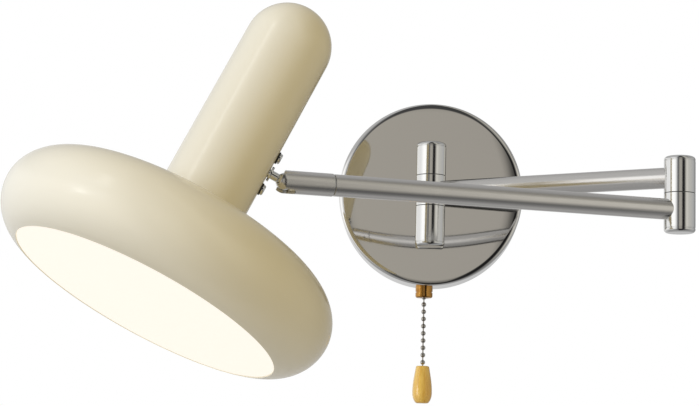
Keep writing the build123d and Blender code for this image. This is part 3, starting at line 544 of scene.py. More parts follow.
def close_in_point(rise):
    """Extrudes the selected ring and merges it into one point on the axis."""
    bpy.ops.mesh.extrude_edges_move(TRANSFORM_OT_translate={"value": (0, 0, rise)})
    bpy.ops.mesh.merge(type="CENTER")


def turned(name, outline, segments=SEGMENTS):
    """A piece turned about Z from an outline of radius and height in millimetres.

    A circle is extruded, moved and scaled from ring to ring. An outline that starts or ends on the
    axis is closed there in a point, and one that comes back to its start is merged into a ring."""
    start_clean()
    rings = [(radius * MM, height * MM) for radius, height in outline]
    open_rings = [ring for ring in rings if ring[0] > 0]
    first_radius, first_height = open_rings[0]
    bpy.ops.mesh.primitive_circle_add(vertices=segments, radius=first_radius, location=(0, 0, 0))
    piece = bpy.context.object
    piece.name = name
    piece.data.name = name
    bpy.ops.object.mode_set(mode="EDIT")
    bpy.ops.mesh.select_all(action="SELECT")
    bpy.ops.transform.translate(value=(0, 0, first_height))
    for (radius, height), (next_radius, next_height) in zip(open_rings, open_rings[1:]):
        scale = next_radius / radius
        rise = next_height - height
        bpy.ops.mesh.extrude_edges_move(TRANSFORM_OT_translate={"value": (0, 0, rise)})
        bpy.ops.transform.resize(value=(scale, scale, 1), center_override=(0, 0, next_height))
    if rings[-1][0] == 0:
        close_in_point(rings[-1][1] - open_rings[-1][1])
    if rings[0][0] == 0:
        bpy.ops.mesh.select_all(action="DESELECT")
        bpy.ops.object.mode_set(mode="OBJECT")
        for vertex in piece.data.vertices[:segments]:
            vertex.select = True
        bpy.ops.object.mode_set(mode="EDIT")
        close_in_point(rings[0][1] - first_height)
    bpy.ops.mesh.select_all(action="SELECT")
    bpy.ops.mesh.remove_doubles(threshold=MERGE_DISTANCE)
    bpy.ops.mesh.normals_make_consistent(inside=False)
    bpy.ops.object.mode_set(mode="OBJECT")
    return piece


def arc(centre, radius, start, end, steps, height=None):
    """Points on an arc, its angles in degrees, or on an ellipse's where it has a height too."""
    high = radius if height is None else height
    angles = [math.radians(start + (end - start) * i / steps) for i in range(steps + 1)]
    return [(centre[0] + radius * math.cos(t), centre[1] + high * math.sin(t)) for t in angles]


def soft_side(radius, low, high, soft):
    """The side of a cylinder between two heights, with both its edges rounded."""
    side = radius - soft
    foot = arc((side, low + soft), soft, -90, 0, steps=3)
    return foot + arc((side, high - soft), soft, 0, 90, steps=3)


def flank(start, start_pull, end_pull, end, steps):
    """Points on a smooth curve between two points, drawn towards two others on the way."""
    points = []
    for i in range(1, steps + 1):
        t = i / steps
        weights = ((1 - t) ** 3, 3 * t * (1 - t) ** 2, 3 * t**2 * (1 - t), t**3)
        corners = (start, start_pull, end_pull, end)
        points.append(tuple(sum(w * p[k] for w, p in zip(weights, corners)) for k in (0, 1)))
    return points


def cut(piece, cutter, place):
    """Takes a cutter, stood at its place, out of a piece."""
    cutter.matrix_world = place
    make_active(piece)
    modifier = piece.modifiers.new("cut", "BOOLEAN")
    modifier.operation = "DIFFERENCE"
    modifier.solver = "EXACT"
    modifier.object = cutter
    bpy.ops.object.modifier_apply(modifier=modifier.name)
    bpy.data.objects.remove(cutter)


def bore(piece, radius, low, high, place):
    """Drills a piece along the Z of a place, between two heights."""
    outline = [(0, low), (radius, low), (radius, high), (0, high)]
    drill = turned("drill", outline, DRILL_SEGMENTS)
    cut(piece, drill, place)


def joined(name, pieces):
    """Several pieces as one object."""
    start_clean()
    for piece in pieces:
        piece.select_set(True)
    bpy.context.view_layer.objects.active = pieces[0]
    bpy.ops.object.transform_apply(location=True, rotation=True, scale=True)
    bpy.ops.object.join()
    whole = bpy.context.object
    whole.name = name
    whole.data.name = name
    return whole


def copy_of(piece, place):
    """A copy with its own mesh, stood at a place."""
    copy = piece.copy()
    copy.data = piece.data.copy()
    bpy.context.scene.collection.objects.link(copy)
    copy.matrix_world = place
    return copy


def finish_piece(piece, place, material, body, slot, *replaced):
    """Puts a piece's place into its mesh, smooths it, and gives it its finish and its body."""
    make_active(piece)
    piece.matrix_world = place
    bpy.ops.object.transform_apply(location=True, rotation=True, scale=True)
    bpy.ops.object.shade_smooth_by_angle(angle=math.radians(SMOOTH_BELOW_DEGREES))
    weighted = piece.modifiers.new("weighted_normals", "WEIGHTED_NORMAL")
    weighted.keep_sharp = True
    bpy.ops.object.modifier_apply(modifier=weighted.name)
    piece.data.materials.clear()
    piece.data.materials.append(material)
    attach(piece, body)
    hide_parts(*replaced)
    if slot in SHEEN_OF_SLOT:
        bpy.data.collections[SHEEN_OF_SLOT[slot]].objects.link(piece)


def made(name):
    """A material that an earlier step made."""
    return bpy.data.materials[name]


def dress(material, *nodes):
    """Gives CAD nodes a material."""
    for name in nodes:
        mesh = frame["nodes"][name].data
        mesh.materials.clear()
        mesh.materials.append(material)


# Outlines of radius and height that pieces are turned from


def canopy_outline():
    """The cover's face falls away towards its rim, rolls over gently and then tightly, and meets
    a straight side."""
    shares = [i / CANOPY_CROWN_STEPS for i in range(CANOPY_CROWN_STEPS + 1)]
    crown = [(share * CANOPY_FACE_RADIUS, CANOPY_CROWN * (1 - share**4)) for share in shares]
    slope = math.degrees(math.atan(4 * CANOPY_CROWN / CANOPY_FACE_RADIUS))
    roll_start, roll_end = math.radians(slope), math.radians(CANOPY_ROLL_ANGLE)
    roll_centre = (
        CANOPY_FACE_RADIUS - CANOPY_ROLL_RADIUS * math.sin(roll_start),
        CANOPY_DEPTH - CANOPY_ROLL_RADIUS * math.cos(roll_start),
    )
    roll_foot = (
        roll_centre[0] + CANOPY_ROLL_RADIUS * math.sin(roll_end),
        roll_centre[1] + CANOPY_ROLL_RADIUS * math.cos(roll_end),
    )
    edge_radius = (CANOPY_RADIUS - roll_foot[0]) / (1 - math.sin(roll_end))
    edge = (CANOPY_RADIUS - edge_radius, roll_foot[1] - edge_radius * math.cos(roll_end))
    roll = 90 - CANOPY_ROLL_ANGLE
    outline = [(radius, CANOPY_DEPTH + rise) for radius, rise in crown]
    outline += arc(roll_centre, CANOPY_ROLL_RADIUS, 90 - slope, roll, steps=8)[1:]
    outline += arc(edge, edge_radius, roll, 0, steps=10)[1:]
    inside = CANOPY_RADIUS - CANOPY_WALL
    outline += [(CANOPY_RADIUS, CANOPY_SIDE_RING), (CANOPY_RADIUS, 0), (inside, 0)]
    # The inside has every third ring of the crown, and a plain slanted corner
    outline += [(inside, CANOPY_DEPTH - 3 * CANOPY_WALL)]
    outline += [(CANOPY_FACE_RADIUS, CANOPY_DEPTH - 2 * CANOPY_WALL)]
    ceiling = CANOPY_DEPTH - CANOPY_WALL
    return outline + [(radius, ceiling + rise) for radius, rise in reversed(crown[::3][:-1])]


def barrel_outline(low, high, hole):
    """A short tube whose outer edges are just softened where it meets its neighbours."""
    return [(hole, low), *soft_side(BARREL_RADIUS, low, high, SEAM_SOFTENING)]


def cap_outline(spigot_radius=0.0):
    """A rounded cap above zero on a fine groove, with a spigot below."""
    groove = BARREL_RADIUS - CAP_GROOVE_DEPTH
    corner = CAP_GROOVE_HEIGHT + CAP_CORNER
    edge = (BARREL_RADIUS - CAP_EDGE_RADIUS, CAP_HEIGHT - CAP_EDGE_RADIUS)
    outline = [(0, 0)]
    if spigot_radius:
        outline = [(0, -CAP_SPIGOT), (spigot_radius, -CAP_SPIGOT), (spigot_radius, 0)]
    outline += [(groove, 0), (groove, CAP_GROOVE_HEIGHT)]
    outline += [(BARREL_RADIUS - CAP_CORNER, CAP_GROOVE_HEIGHT), (BARREL_RADIUS, corner)]
    outline += arc(edge, CAP_EDGE_RADIUS, 0, 90, steps=12)
    return outline + [(0, CAP_HEIGHT)]


def tube_outline(start, end):
    """An arm tube between two lengths."""
    hole = TUBE_RADIUS - TUBE_WALL
    outside = soft_side(TUBE_RADIUS, start, end, TUBE_END_SOFTENING)
    return [(hole, start), *outside, (hole, end), (hole, start)]


def sleeve_outline():
    """The swivel sleeve and the rounded cup at its end, before the cup is cut open."""
    start = (SLEEVE_RADIUS - SEAM_SOFTENING, SLEEVE_START + SEAM_SOFTENING)
    outline = [(SLEEVE_BORE, SLEEVE_START)]
    outline += arc(start, SEAM_SOFTENING, -90, 0, steps=3)
    outline += arc((0, 0), SLEEVE_RADIUS, 0, CUP_ARC, steps=14)
    outline += arc((0, 0), SLEEVE_BORE, CUP_ARC, 0, steps=14)
    return outline + [(SLEEVE_BORE, SLEEVE_START)]


def stud_outline():
    """The ball, its stud and the flange that bears on the neck."""
    shank_angle = math.degrees(math.acos(STUD_RADIUS / BALL_RADIUS))
    outline = [(0, -BALL_RADIUS)]
    outline += arc((0, 0), BALL_RADIUS, BALL_POLE, shank_angle, steps=30)
    outline += [(STUD_RADIUS, STUD_FLANGE_START)]
    outline += soft_side(STUD_FLANGE_RADIUS, STUD_FLANGE_START, STUD_FLANGE_END, SEAM_SOFTENING)
    return outline + [(STUD_RADIUS, STUD_FLANGE_END), (STUD_RADIUS, STUD_END), (0, STUD_END)]


def neck_outline():
    """The head's tall round-topped neck, with close rings where its screws go through."""
    inside = NECK_RADIUS - NECK_WALL
    dome = (0, NECK_TOP - NECK_RADIUS)
    outline = [(0, NECK_TOP)]
    outline += arc(dome, NECK_RADIUS, NECK_POLE, 0, steps=30)
    outline += [(NECK_RADIUS, height) for height in NECK_RINGS]
    outline += [(NECK_RADIUS, NECK_BOTTOM), (inside, NECK_BOTTOM)]
    outline += [(inside, height) for height in reversed(NECK_RINGS)]
    outline += arc(dome, inside, 0, NECK_POLE, steps=30)
    return outline + [(0, NECK_TOP - NECK_WALL)]


def shade_outline():
    """The bun-shaped shade: a flared collar, a shallow dished top and a side that turns under."""
    shoulder_z = SHADE_WIDEST_Z + SHADE_HALF_HEIGHT
    foot_z = shoulder_z + SHADE_TOP_RISE
    run = SHADE_SHOULDER - SHADE_COLLAR_FOOT
    slope = 2 * math.atan(SHADE_TOP_RISE / run)
    dish_radius = (run**2 + SHADE_TOP_RISE**2) / (2 * SHADE_TOP_RISE)
    collar_radius = (SHADE_COLLAR_FOOT - SHADE_HOLE) / (1 - math.sin(slope))
    collar = (SHADE_HOLE + collar_radius, foot_z + collar_radius * math.cos(slope))
    foot_angle = 270 - math.degrees(slope)
    upper = (SHADE_SHOULDER, SHADE_WIDEST_Z)
    lower = (SHADE_LOWER_CENTRE, SHADE_WIDEST_Z)
    dish = (SHADE_SHOULDER, shoulder_z + dish_radius)
    outline = arc(collar, collar_radius, 180, foot_angle, steps=14)
    outline += arc(dish, dish_radius, foot_angle, 270, steps=12)[1:]
    inside = []
    for wall, points in ((0.0, outline), (SHADE_WALL, inside)):
        high = SHADE_HALF_HEIGHT - wall
        upper_reach = SHADE_RADIUS - SHADE_SHOULDER - wall
        lower_reach = SHADE_RADIUS - SHADE_LOWER_CENTRE - wall
        lip = math.degrees(math.acos((OPENING_RADIUS - SHADE_LOWER_CENTRE) / lower_reach))
        points += arc(upper, upper_reach, 90, 0, steps=28, height=high)[1:]
        points += arc(lower, lower_reach, 0, -lip, steps=24, height=high)[1:]
    outline += reversed(inside)
    inside_dish = (SHADE_SHOULDER, shoulder_z - SHADE_WALL + dish_radius)
    outline += arc(inside_dish, dish_radius, 270, foot_angle, steps=8)
    return outline + [(SHADE_HOLE, foot_z - SHADE_WALL), outline[0]]


def diffuser_outline():
    """The opal disc with its rounded edge, and the flange that holds it in the shade."""
    lens = OPENING_RADIUS - DIFFUSER_GAP
    flange = OPENING_RADIUS + DIFFUSER_FLANGE
    edge = (lens - DIFFUSER_EDGE_RADIUS, DIFFUSER_FACE + DIFFUSER_EDGE_RADIUS)
    outline = [(0, DIFFUSER_BACK), (flange, DIFFUSER_BACK), (flange, DIFFUSER_STEP)]
    outline += [(lens, DIFFUSER_STEP)]
    outline += arc(edge, DIFFUSER_EDGE_RADIUS, 0, -90, steps=6)
    return outline + [(0, DIFFUSER_FACE)]


def bush_outline():
    """The threaded brass bush round the switch's nozzle, with a groove round it."""
    edge = (BUSH_RADIUS - BUSH_EDGE_RADIUS, BUSH_BOTTOM + BUSH_EDGE_RADIUS)
    groove = BUSH_RADIUS - BUSH_GROOVE_DEPTH
    outline = [(NOZZLE_BORE, BUSH_BOTTOM)]
    outline += arc(edge, BUSH_EDGE_RADIUS, -90, 0, steps=8)
    outline += [(BUSH_RADIUS, BUSH_GROOVE_BOTTOM), (groove, BUSH_GROOVE_BOTTOM)]
    outline += [(groove, BUSH_GROOVE_TOP), (BUSH_RADIUS, BUSH_GROOVE_TOP)]
    outline += [(BUSH_RADIUS, BUSH_TOP), (NOZZLE_RADIUS, BUSH_TOP)]
    outline += [(NOZZLE_RADIUS, NOZZLE_BOTTOM), (NOZZLE_BORE, NOZZLE_BOTTOM)]
    return outline + [(NOZZLE_BORE, BUSH_BOTTOM)]


def bead_outline(pin_end=None):
    """One bead of the chain with its two small collars, and the pin that hangs from it."""
    pin = [(0, -BEAD_DIMPLE)] if pin_end is None else [(0, pin_end), (LINK_RADIUS, pin_end)]
    outline = pin + [(LINK_RADIUS, -BEAD_COLLAR)]
    outline += arc((0, 0), BEAD_RADIUS, -BEAD_ARC, BEAD_ARC, steps=14)
    return outline + [(LINK_RADIUS, BEAD_COLLAR), (0, BEAD_DIMPLE)]


def pull_outline():
    """The turned pull: a flat top, flanks that swell to a low belly, and a foot drawn in."""
    shoulder = (PULL_TOP_RADIUS, PULL_TOP - PULL_TOP_EDGE)
    widest = (PULL_RADIUS, PULL_WIDEST_Z)
    foot = (PULL_FOOT_RADIUS, PULL_BOTTOM)
    fall = PULL_FLANK_SHARE * (shoulder[1] - PULL_WIDEST_Z)
    drop = PULL_FOOT_SHARE * (PULL_WIDEST_Z - PULL_BOTTOM)
    reach = PULL_FOOT_SHARE * (PULL_RADIUS - PULL_FOOT_RADIUS)
    outline = [(0, PULL_TOP)]
    outline += arc((PULL_TOP_RADIUS - PULL_TOP_EDGE, shoulder[1]), PULL_TOP_EDGE, 90, 0, steps=6)
    outline += flank(
        shoulder, (shoulder[0] + PULL_FLANK_SLOPE * fall, shoulder[1] - fall),
        (PULL_RADIUS, PULL_WIDEST_Z + fall), widest, steps=16,
    )
    outline += flank(
        widest, (PULL_RADIUS, PULL_WIDEST_Z - drop),
        (foot[0] + reach, PULL_BOTTOM + PULL_FOOT_SLOPE * reach), foot, steps=12,
    )
    return outline + [(0, PULL_BOTTOM)]


# Colours that a user would change


def colour_property(name, description, colour):
    return bpy.props.FloatVectorProperty(
        name=name, description=description,
        subtype="COLOR", size=4, min=0, max=1, default=linear(colour),
    )


class WallLampFinish(bpy.types.PropertyGroup):
    enamel: colour_property("Enamel", "Colour of the head's enamel", "#DCD3B7")
    glow: colour_property("Glow", "Colour of the lit diffuser", "#FFF7E9")
    wood: colour_property("Wood", "Colour of the pull's wood between its dark grain", "#E6BE58")
    grain: colour_property("Grain", "Colour of the pull's dark grain", "#D09E38")


# The stage: camera, light, floor, and the studio that the chrome mirrors

CAMERA_PLACE = Vector((-0.003946, -1.32246, -0.18436))
CAMERA_YAW = -0.03776
CAMERA_PITCH = 0.13595
CAMERA_ROLL = 0.02518
IMAGE_WIDTH = 699
FOCAL_PIXELS = 2000
SENSOR_WIDTH = 36.0

# These greys were fitted by comparing renders with the photograph at its own view, and the real
# studio isn't known. Plain greys round the room at the lamp's height, by degrees from its front and to its right:
# a big white sheet on the left, a warm grey wall behind the camera between two dark gaps, and a
# wall that falls away into grey on the right
STUDIO_ROUND = (
    (-180, "#B8B8B8"), (-120, "#E2E2E2"), (-90, "#DEDEDE"), (-60, "#FFFFFF"), (-42, "#FAFAFA"),
    (-30, "#C8C8C8"), (-21, "#646464"), (-13, "#585858"), (-9.5, "#9C9890"), (9, "#98948D"),
    (12, "#2C2C2C"), (21, "#0C0C0C"), (29, "#303030"), (38, "#AAA79F"), (46, "#C8C5BE"),
    (62, "#B6B4AE"), (110, "#A4A4A4"), (140, "#787878"), (180, "#B8B8B8"),
)
# The same above head height, and towards the floor
STUDIO_ABOVE = (
    (-180, "#9E9E9E"), (-60, "#B2B2B2"), (-30, "#A0A0A0"), (-18, "#404040"), (18, "#383838"),
    (32, "#A8A69E"), (42, "#B6B3AA"), (53, "#72706A"), (90, "#909090"), (180, "#9E9E9E"),
)
STUDIO_BELOW = (
    (-180, "#8C8C8C"), (-60, "#969696"), (-34, "#707070"), (-14, "#202020"), (20, "#202020"),
    (42, "#484848"), (70, "#747474"), (150, "#9C9C9C"), (180, "#8C8C8C"),
)
ABOVE_FROM_TO = (0.33, 0.47)
BELOW_FROM_TO = (0.20, 0.70)
AMBIENT = "#FFF2D0"
SHEEN_OF_SLOT = {"cream_enamel": "enamelled", "polished_brass": "enamelled", "turned_wood": "wooden"}
DIFFUSE_LEVEL = 0.52
MIRRORED_LEVEL = 1.3
FLOOR_SIZE = 12
FLOOR_HEIGHT = -1.1

# Lamps: name, place, target and size in metres, power in watts, and colour
ROOM_LAMPS = (
    ("key", (-1.9, -1.5, 0.9), (-0.05, -0.1, 0.0), (1.2, 1.6), 66, "#CCDAFF"),
    ("fill", (0.9, -2.1, 0.6), (0, -0.1, 0.0), (1.4, 1.4), 6.5, "#FFEDB4"),
)
# The same for lamps that light one collection only
SHEEN_LAMPS = (
    ("enamelled", ("low_sheen", (-2.15, -1.4, 0.5), (-0.3, -0.2, 0.0), (0.3, 0.25), 1.3)),
    ("enamelled", ("high_sheen", (-1.25, -1.45, 1.73), (-0.2, -0.2, 0.1), (0.35, 1.0), 2.0)),
    ("wooden", ("pull_sheen", (-2.05, -1.25, -0.1), (0.0, 0.0, -0.12), (0.5, 0.8), 8)),
)


def make_camera():
    data = bpy.data.cameras.new("camera")
    data.sensor_width = SENSOR_WIDTH
    data.lens = FOCAL_PIXELS / IMAGE_WIDTH * SENSOR_WIDTH
    camera = bpy.data.objects.new("camera", data)
    bpy.context.scene.collection.objects.link(camera)
    forward = Vector((
        math.sin(CAMERA_YAW) * math.cos(CAMERA_PITCH),
        math.cos(CAMERA_YAW) * math.cos(CAMERA_PITCH),
        math.sin(CAMERA_PITCH),
    ))
    level = Vector((math.cos(CAMERA_YAW), -math.sin(CAMERA_YAW), 0))
    upright = level.cross(forward)
    right = level * math.cos(CAMERA_ROLL) + upright * math.sin(CAMERA_ROLL)
    up = upright * math.cos(CAMERA_ROLL) - level * math.sin(CAMERA_ROLL)
    axes = Matrix((right, up, -forward)).transposed().to_4x4()
    camera.matrix_world = Matrix.Translation(CAMERA_PLACE) @ axes
    bpy.context.scene.camera = camera


def make_world():
    """White to the camera, an even warm light on matt surfaces, and a plain studio in mirrors."""
    world = bpy.data.worlds.new("studio")
    world.use_nodes = True
    direction = add_node(world, "ShaderNodeTexCoord").outputs["Generated"]
    part = add_node(world, "ShaderNodeSeparateXYZ", inputs={"Vector": direction}).outputs
    front = add_node(world, "ShaderNodeMath", {"operation": "MULTIPLY"}, {0: part["Y"], 1: -1.0})
    angle = add_node(
        world, "ShaderNodeMath", {"operation": "ARCTAN2"}, {0: part["X"], 1: front.outputs[0]}
    ).outputs[0]
    around = add_node(
        world, "ShaderNodeMapRange", inputs={"Value": angle, "From Min": -math.pi, "From Max": math.pi}
    ).outputs["Result"]
    walls, above, below = (
        add_node(
            world, "ShaderNodeValToRGB", inputs={"Fac": around},
            stops=[((degrees + 180) / 360, grey) for degrees, grey in greys],
        ).outputs["Color"]
        for greys in (STUDIO_ROUND, STUDIO_ABOVE, STUDIO_BELOW)
    )
    down = add_node(world, "ShaderNodeMath", {"operation": "MULTIPLY"}, {0: part["Z"], 1: -1.0})
    high, low = (
        add_node(
            world, "ShaderNodeMapRange", inputs={"Value": height, "From Min": start, "From Max": end}
        ).outputs["Result"]
        for height, (start, end) in ((part["Z"], ABOVE_FROM_TO), (down.outputs[0], BELOW_FROM_TO))
    )
    room = add_node(
        world, "ShaderNodeMix", {"data_type": "RGBA"}, {"Factor": high, "A": walls, "B": above}
    ).outputs["Result"]
    room = add_node(
        world, "ShaderNodeMix", {"data_type": "RGBA"}, {"Factor": low, "A": room, "B": below}
    ).outputs["Result"]
    path = add_node(world, "ShaderNodeLightPath").outputs
    light = add_node(
        world, "ShaderNodeMix", {"data_type": "RGBA"},
        {"Factor": path["Is Diffuse Ray"], "A": linear("#FFFFFF"), "B": linear(AMBIENT)},
    ).outputs["Result"]
    colour = add_node(
        world, "ShaderNodeMix", {"data_type": "RGBA"},
        {"Factor": path["Is Glossy Ray"], "A": light, "B": room},
    ).outputs["Result"]
    seen = add_node(
        world, "ShaderNodeMath", {"operation": "MAXIMUM"},
        {0: path["Is Camera Ray"], 1: path["Is Transmission Ray"]},
    ).outputs[0]
    level = add_node(
        world, "ShaderNodeMath", {"operation": "MULTIPLY_ADD"},
        {0: seen, 1: 1.0 - DIFFUSE_LEVEL, 2: DIFFUSE_LEVEL},
    ).outputs[0]
    level = add_node(
        world, "ShaderNodeMath", {"operation": "MULTIPLY_ADD"},
        {0: path["Is Glossy Ray"], 1: MIRRORED_LEVEL - DIFFUSE_LEVEL, 2: level},
    ).outputs[0]
    set_inputs(world, world.node_tree.nodes["Background"], {"Color": colour, "Strength": level})
    bpy.context.scene.world = world


def make_softbox(name, place, target, size, power, colour="#FFFFFF"):
    data = bpy.data.lights.new(name, "AREA")
    data.shape = "RECTANGLE"
    data.size, data.size_y = size
    data.energy = power
    data.color = linear(colour)[:3]
    lamp = bpy.data.objects.new(name, data)
    bpy.context.scene.collection.objects.link(lamp)
    lamp.location = place
    lamp.rotation_euler = (Vector(target) - Vector(place)).to_track_quat("-Z", "Y").to_euler()
    lamp.visible_glossy = False
    return lamp


def make_sheens():
    """Lamps whose gleams show on enamel and brass, or on the wooden pull, and not in the chrome."""
    lit = {name: bpy.data.collections.new(name) for name in ("enamelled", "wooden")}
    for name, settings in SHEEN_LAMPS:
        lamp = make_softbox(*settings)
        lamp.visible_glossy = True
        lamp.light_linking.receiver_collection = lit[name]


def make_floor():
    start_clean()
    bpy.ops.mesh.primitive_plane_add(size=FLOOR_SIZE, location=(0, 0, FLOOR_HEIGHT))
    floor = bpy.context.object
    floor.name = "floor"
    material, shader, _ = new_material("pale_floor")
    set_inputs(material, shader, {"Base Color": linear("#E6E5E2"), "Roughness": 0.9})
    floor.data.materials.append(material)
    floor.visible_glossy = False


class WALLLAMP_OT_stage(bpy.types.Operator):
    """Sets up the camera, the light, the floor and the studio that the chrome mirrors"""

    bl_idname = "walllamp.stage"
    bl_label = "Stage"

    def execute(self, context):
        make_camera()
        make_world()
        make_floor()
        for settings in ROOM_LAMPS:
            make_softbox(*settings)
        make_sheens()
        context.scene.view_settings.view_transform = "Standard"
        return {"FINISHED"}


# The pieces


class WALLLAMP_OT_canopy(bpy.types.Operator):
    """Turns the canopy's cover and finishes the fittings hidden in it"""

    bl_idname = "walllamp.canopy"
    bl_label = "Canopy"

    def execute(self, context):
        chrome = polished_chrome()
        zinc = zinc_plate()
        brass = polished_brass()
        cover = turned("canopy_cover_turned", canopy_outline(), WIDE_SEGMENTS)
        for side in (1, -1):
            bore(cover, NIPPLE_RADIUS, *FACE_BORE, shift(0, side * STANDOFF_Z, 0))
            screw_hole = shift(0, 0, SET_SCREW_DEPTH) @ turn(side * 90, "Y")
            bore(cover, SET_SCREW_RADIUS, *RIM_BORE, screw_hole)
        bore(cover, NOZZLE_RADIUS, *RIM_BORE, shift(SWITCH_X, 0, -SWITCH_Y) @ turn(90, "X"))
        finish_piece(cover, WALL, chrome, "wall_unit", "polished_chrome", "canopy_cover")
        bush = turned("brass_bush_turned", bush_outline(), BUSH_SEGMENTS)
        finish_piece(bush, PULL, brass, "wall_unit", "polished_brass", "brass_bush")
        dress(chrome, "cover_set_screws")
        dress(zinc, "mounting_strap", "stiffener_plate", "post_pivot_tube", "post_nipples", "nipple_nuts")
        dress(brass, "earth_screw", "terminal_screws", "switch_nozzle")
        dress(moulded_plastic("white_nylon", "#DAD9D4", "#E8E7E2"), "terminal_block")
        dress(moulded_plastic("black_phenolic", "#121212", "#1E1E1E"), "pull_switch", "post_washers")
        dress(pvc_wire_sheath(), "canopy_wiring")
        return {"FINISHED"}


class WALLLAMP_OT_post(bpy.types.Operator):
    """Turns the post's barrels, its two caps and the collars that hold it off the canopy"""

    bl_idname = "walllamp.post"
    bl_label = "Post"

    def execute(self, context):
        chrome = made("polished_chrome")
        for name, low, high in (
            ("post_upper_barrel", WASHER_END, POST_TOP - CAP_HEIGHT),
            ("post_lower_barrel", POST_BOTTOM + CAP_HEIGHT, -WASHER_END),
        ):
            outline = barrel_outline(low, high, POST_BORE) + [(POST_BORE, high), (POST_BORE, low)]
            barrel = turned(name + "_turned", outline)
            finish_piece(barrel, POST_STAND, chrome, "wall_unit", "polished_chrome", name)
        top_cap = turned("post_caps_turned", cap_outline(POST_BORE))
        bottom_cap = copy_of(top_cap, shift(0, 0, POST_BOTTOM + CAP_HEIGHT) @ turn(180, "X"))
        top_cap.matrix_world = shift(0, 0, POST_TOP - CAP_HEIGHT)
        caps = joined("post_caps_turned", [top_cap, bottom_cap])
        finish_piece(caps, POST_STAND, chrome, "wall_unit", "polished_chrome", "post_caps")
        ring = [
            (NIPPLE_RADIUS, COLLAR_BACK), (COLLAR_RADIUS, COLLAR_BACK), (COLLAR_RADIUS, COLLAR_FRONT),
            (NIPPLE_RADIUS, COLLAR_FRONT), (NIPPLE_RADIUS, COLLAR_BACK),
        ]
        top_collar = turned("post_collars_turned", ring, NARROW_SEGMENTS)
        bottom_collar = copy_of(top_collar, shift(0, -STANDOFF_Z, 0))
        top_collar.matrix_world = shift(0, STANDOFF_Z, 0)
        collars = joined("post_collars_turned", [top_collar, bottom_collar])
        finish_piece(collars, WALL, chrome, "wall_unit", "polished_chrome", "post_collars")
        return {"FINISHED"}


class WALLLAMP_OT_rear_arm(bpy.types.Operator):
    """Turns the rear arm's tube, its barrel on the post and the upper half of the elbow"""

    bl_idname = "walllamp.rear_arm"
    bl_label = "Rear Arm"

    def execute(self, context):
        chrome = made("polished_chrome")
        tube_chrome = drawn_tube_chrome()
        running = POST_BORE + RUNNING_CLEARANCE
        middle = turned(
            "post_middle_barrel_turned",
            barrel_outline(-BARREL_HALF_HEIGHT, BARREL_HALF_HEIGHT, running)
            + [(running, BARREL_HALF_HEIGHT), (running, -BARREL_HALF_HEIGHT)],
        )
        finish_piece(middle, POST_STAND, chrome, "rear_arm", "polished_chrome", "post_middle_barrel")
        tube = turned("rear_tube_drawn", tube_outline(TUBE_SEAT, REAR_ARM_LENGTH - TUBE_SEAT))
        finish_piece(tube, REAR_ARM @ ALONG_X, tube_chrome, "rear_arm", "polished_chrome", "rear_tube")
        running = ELBOW_BORE + RUNNING_CLEARANCE
        top = ELBOW_TOP - CAP_HEIGHT
        upper = turned(
            "elbow_upper_barrel_turned",
            barrel_outline(-BARREL_HALF_HEIGHT, top, running)
            + [(ELBOW_CAVITY_RADIUS, top), (ELBOW_CAVITY_RADIUS, ELBOW_CAVITY_BOTTOM)]
            + [(running, ELBOW_CAVITY_BOTTOM), (running, -BARREL_HALF_HEIGHT)],
        )
        finish_piece(upper, ELBOW_STAND, chrome, "rear_arm", "polished_chrome", "elbow_upper_barrel")
        cap = turned("elbow_top_cap_turned", cap_outline())
        place = ELBOW_STAND @ shift(0, 0, top)
        finish_piece(cap, place, chrome, "rear_arm", "polished_chrome", "elbow_top_cap")
        dress(made("pvc_wire_sheath"), "rear_arm_cable")
        return {"FINISHED"}


class WALLLAMP_OT_front_arm(bpy.types.Operator):
    """Turns the front arm's tube and the lower half of the elbow"""

    bl_idname = "walllamp.front_arm"
    bl_label = "Front Arm"

    def execute(self, context):
        chrome = made("polished_chrome")
        tube_chrome = made("drawn_tube_chrome")
        bottom = ELBOW_BOTTOM + CAP_HEIGHT
        lower = turned(
            "elbow_lower_barrel_turned",
            barrel_outline(bottom, -WASHER_END, 0)
            + [(ELBOW_BORE, -WASHER_END), (ELBOW_BORE, ELBOW_PIVOT_BOTTOM), (0, ELBOW_PIVOT_BOTTOM)],
        )
        finish_piece(lower, ELBOW_STAND, chrome, "front_arm", "polished_chrome", "elbow_lower_barrel")
        cap = turned("elbow_bottom_cap_turned", cap_outline())
        place = ELBOW_STAND @ shift(0, 0, bottom) @ turn(180, "X")
        finish_piece(cap, place, chrome, "front_arm", "polished_chrome", "elbow_bottom_cap")
        tube = turned("front_tube_drawn", tube_outline(TUBE_SEAT, FRONT_ARM_LENGTH - SEAM_WIDTH))
        finish_piece(tube, FRONT_ARM @ ALONG_X, tube_chrome, "front_arm", "polished_chrome", "front_tube")
        dress(made("zinc_plate"), "elbow_pivot", "elbow_nut", "arm_end_spigot")
        dress(made("black_phenolic"), "elbow_washer")
        dress(made("pvc_wire_sheath"), "front_arm_cable")
        return {"FINISHED"}


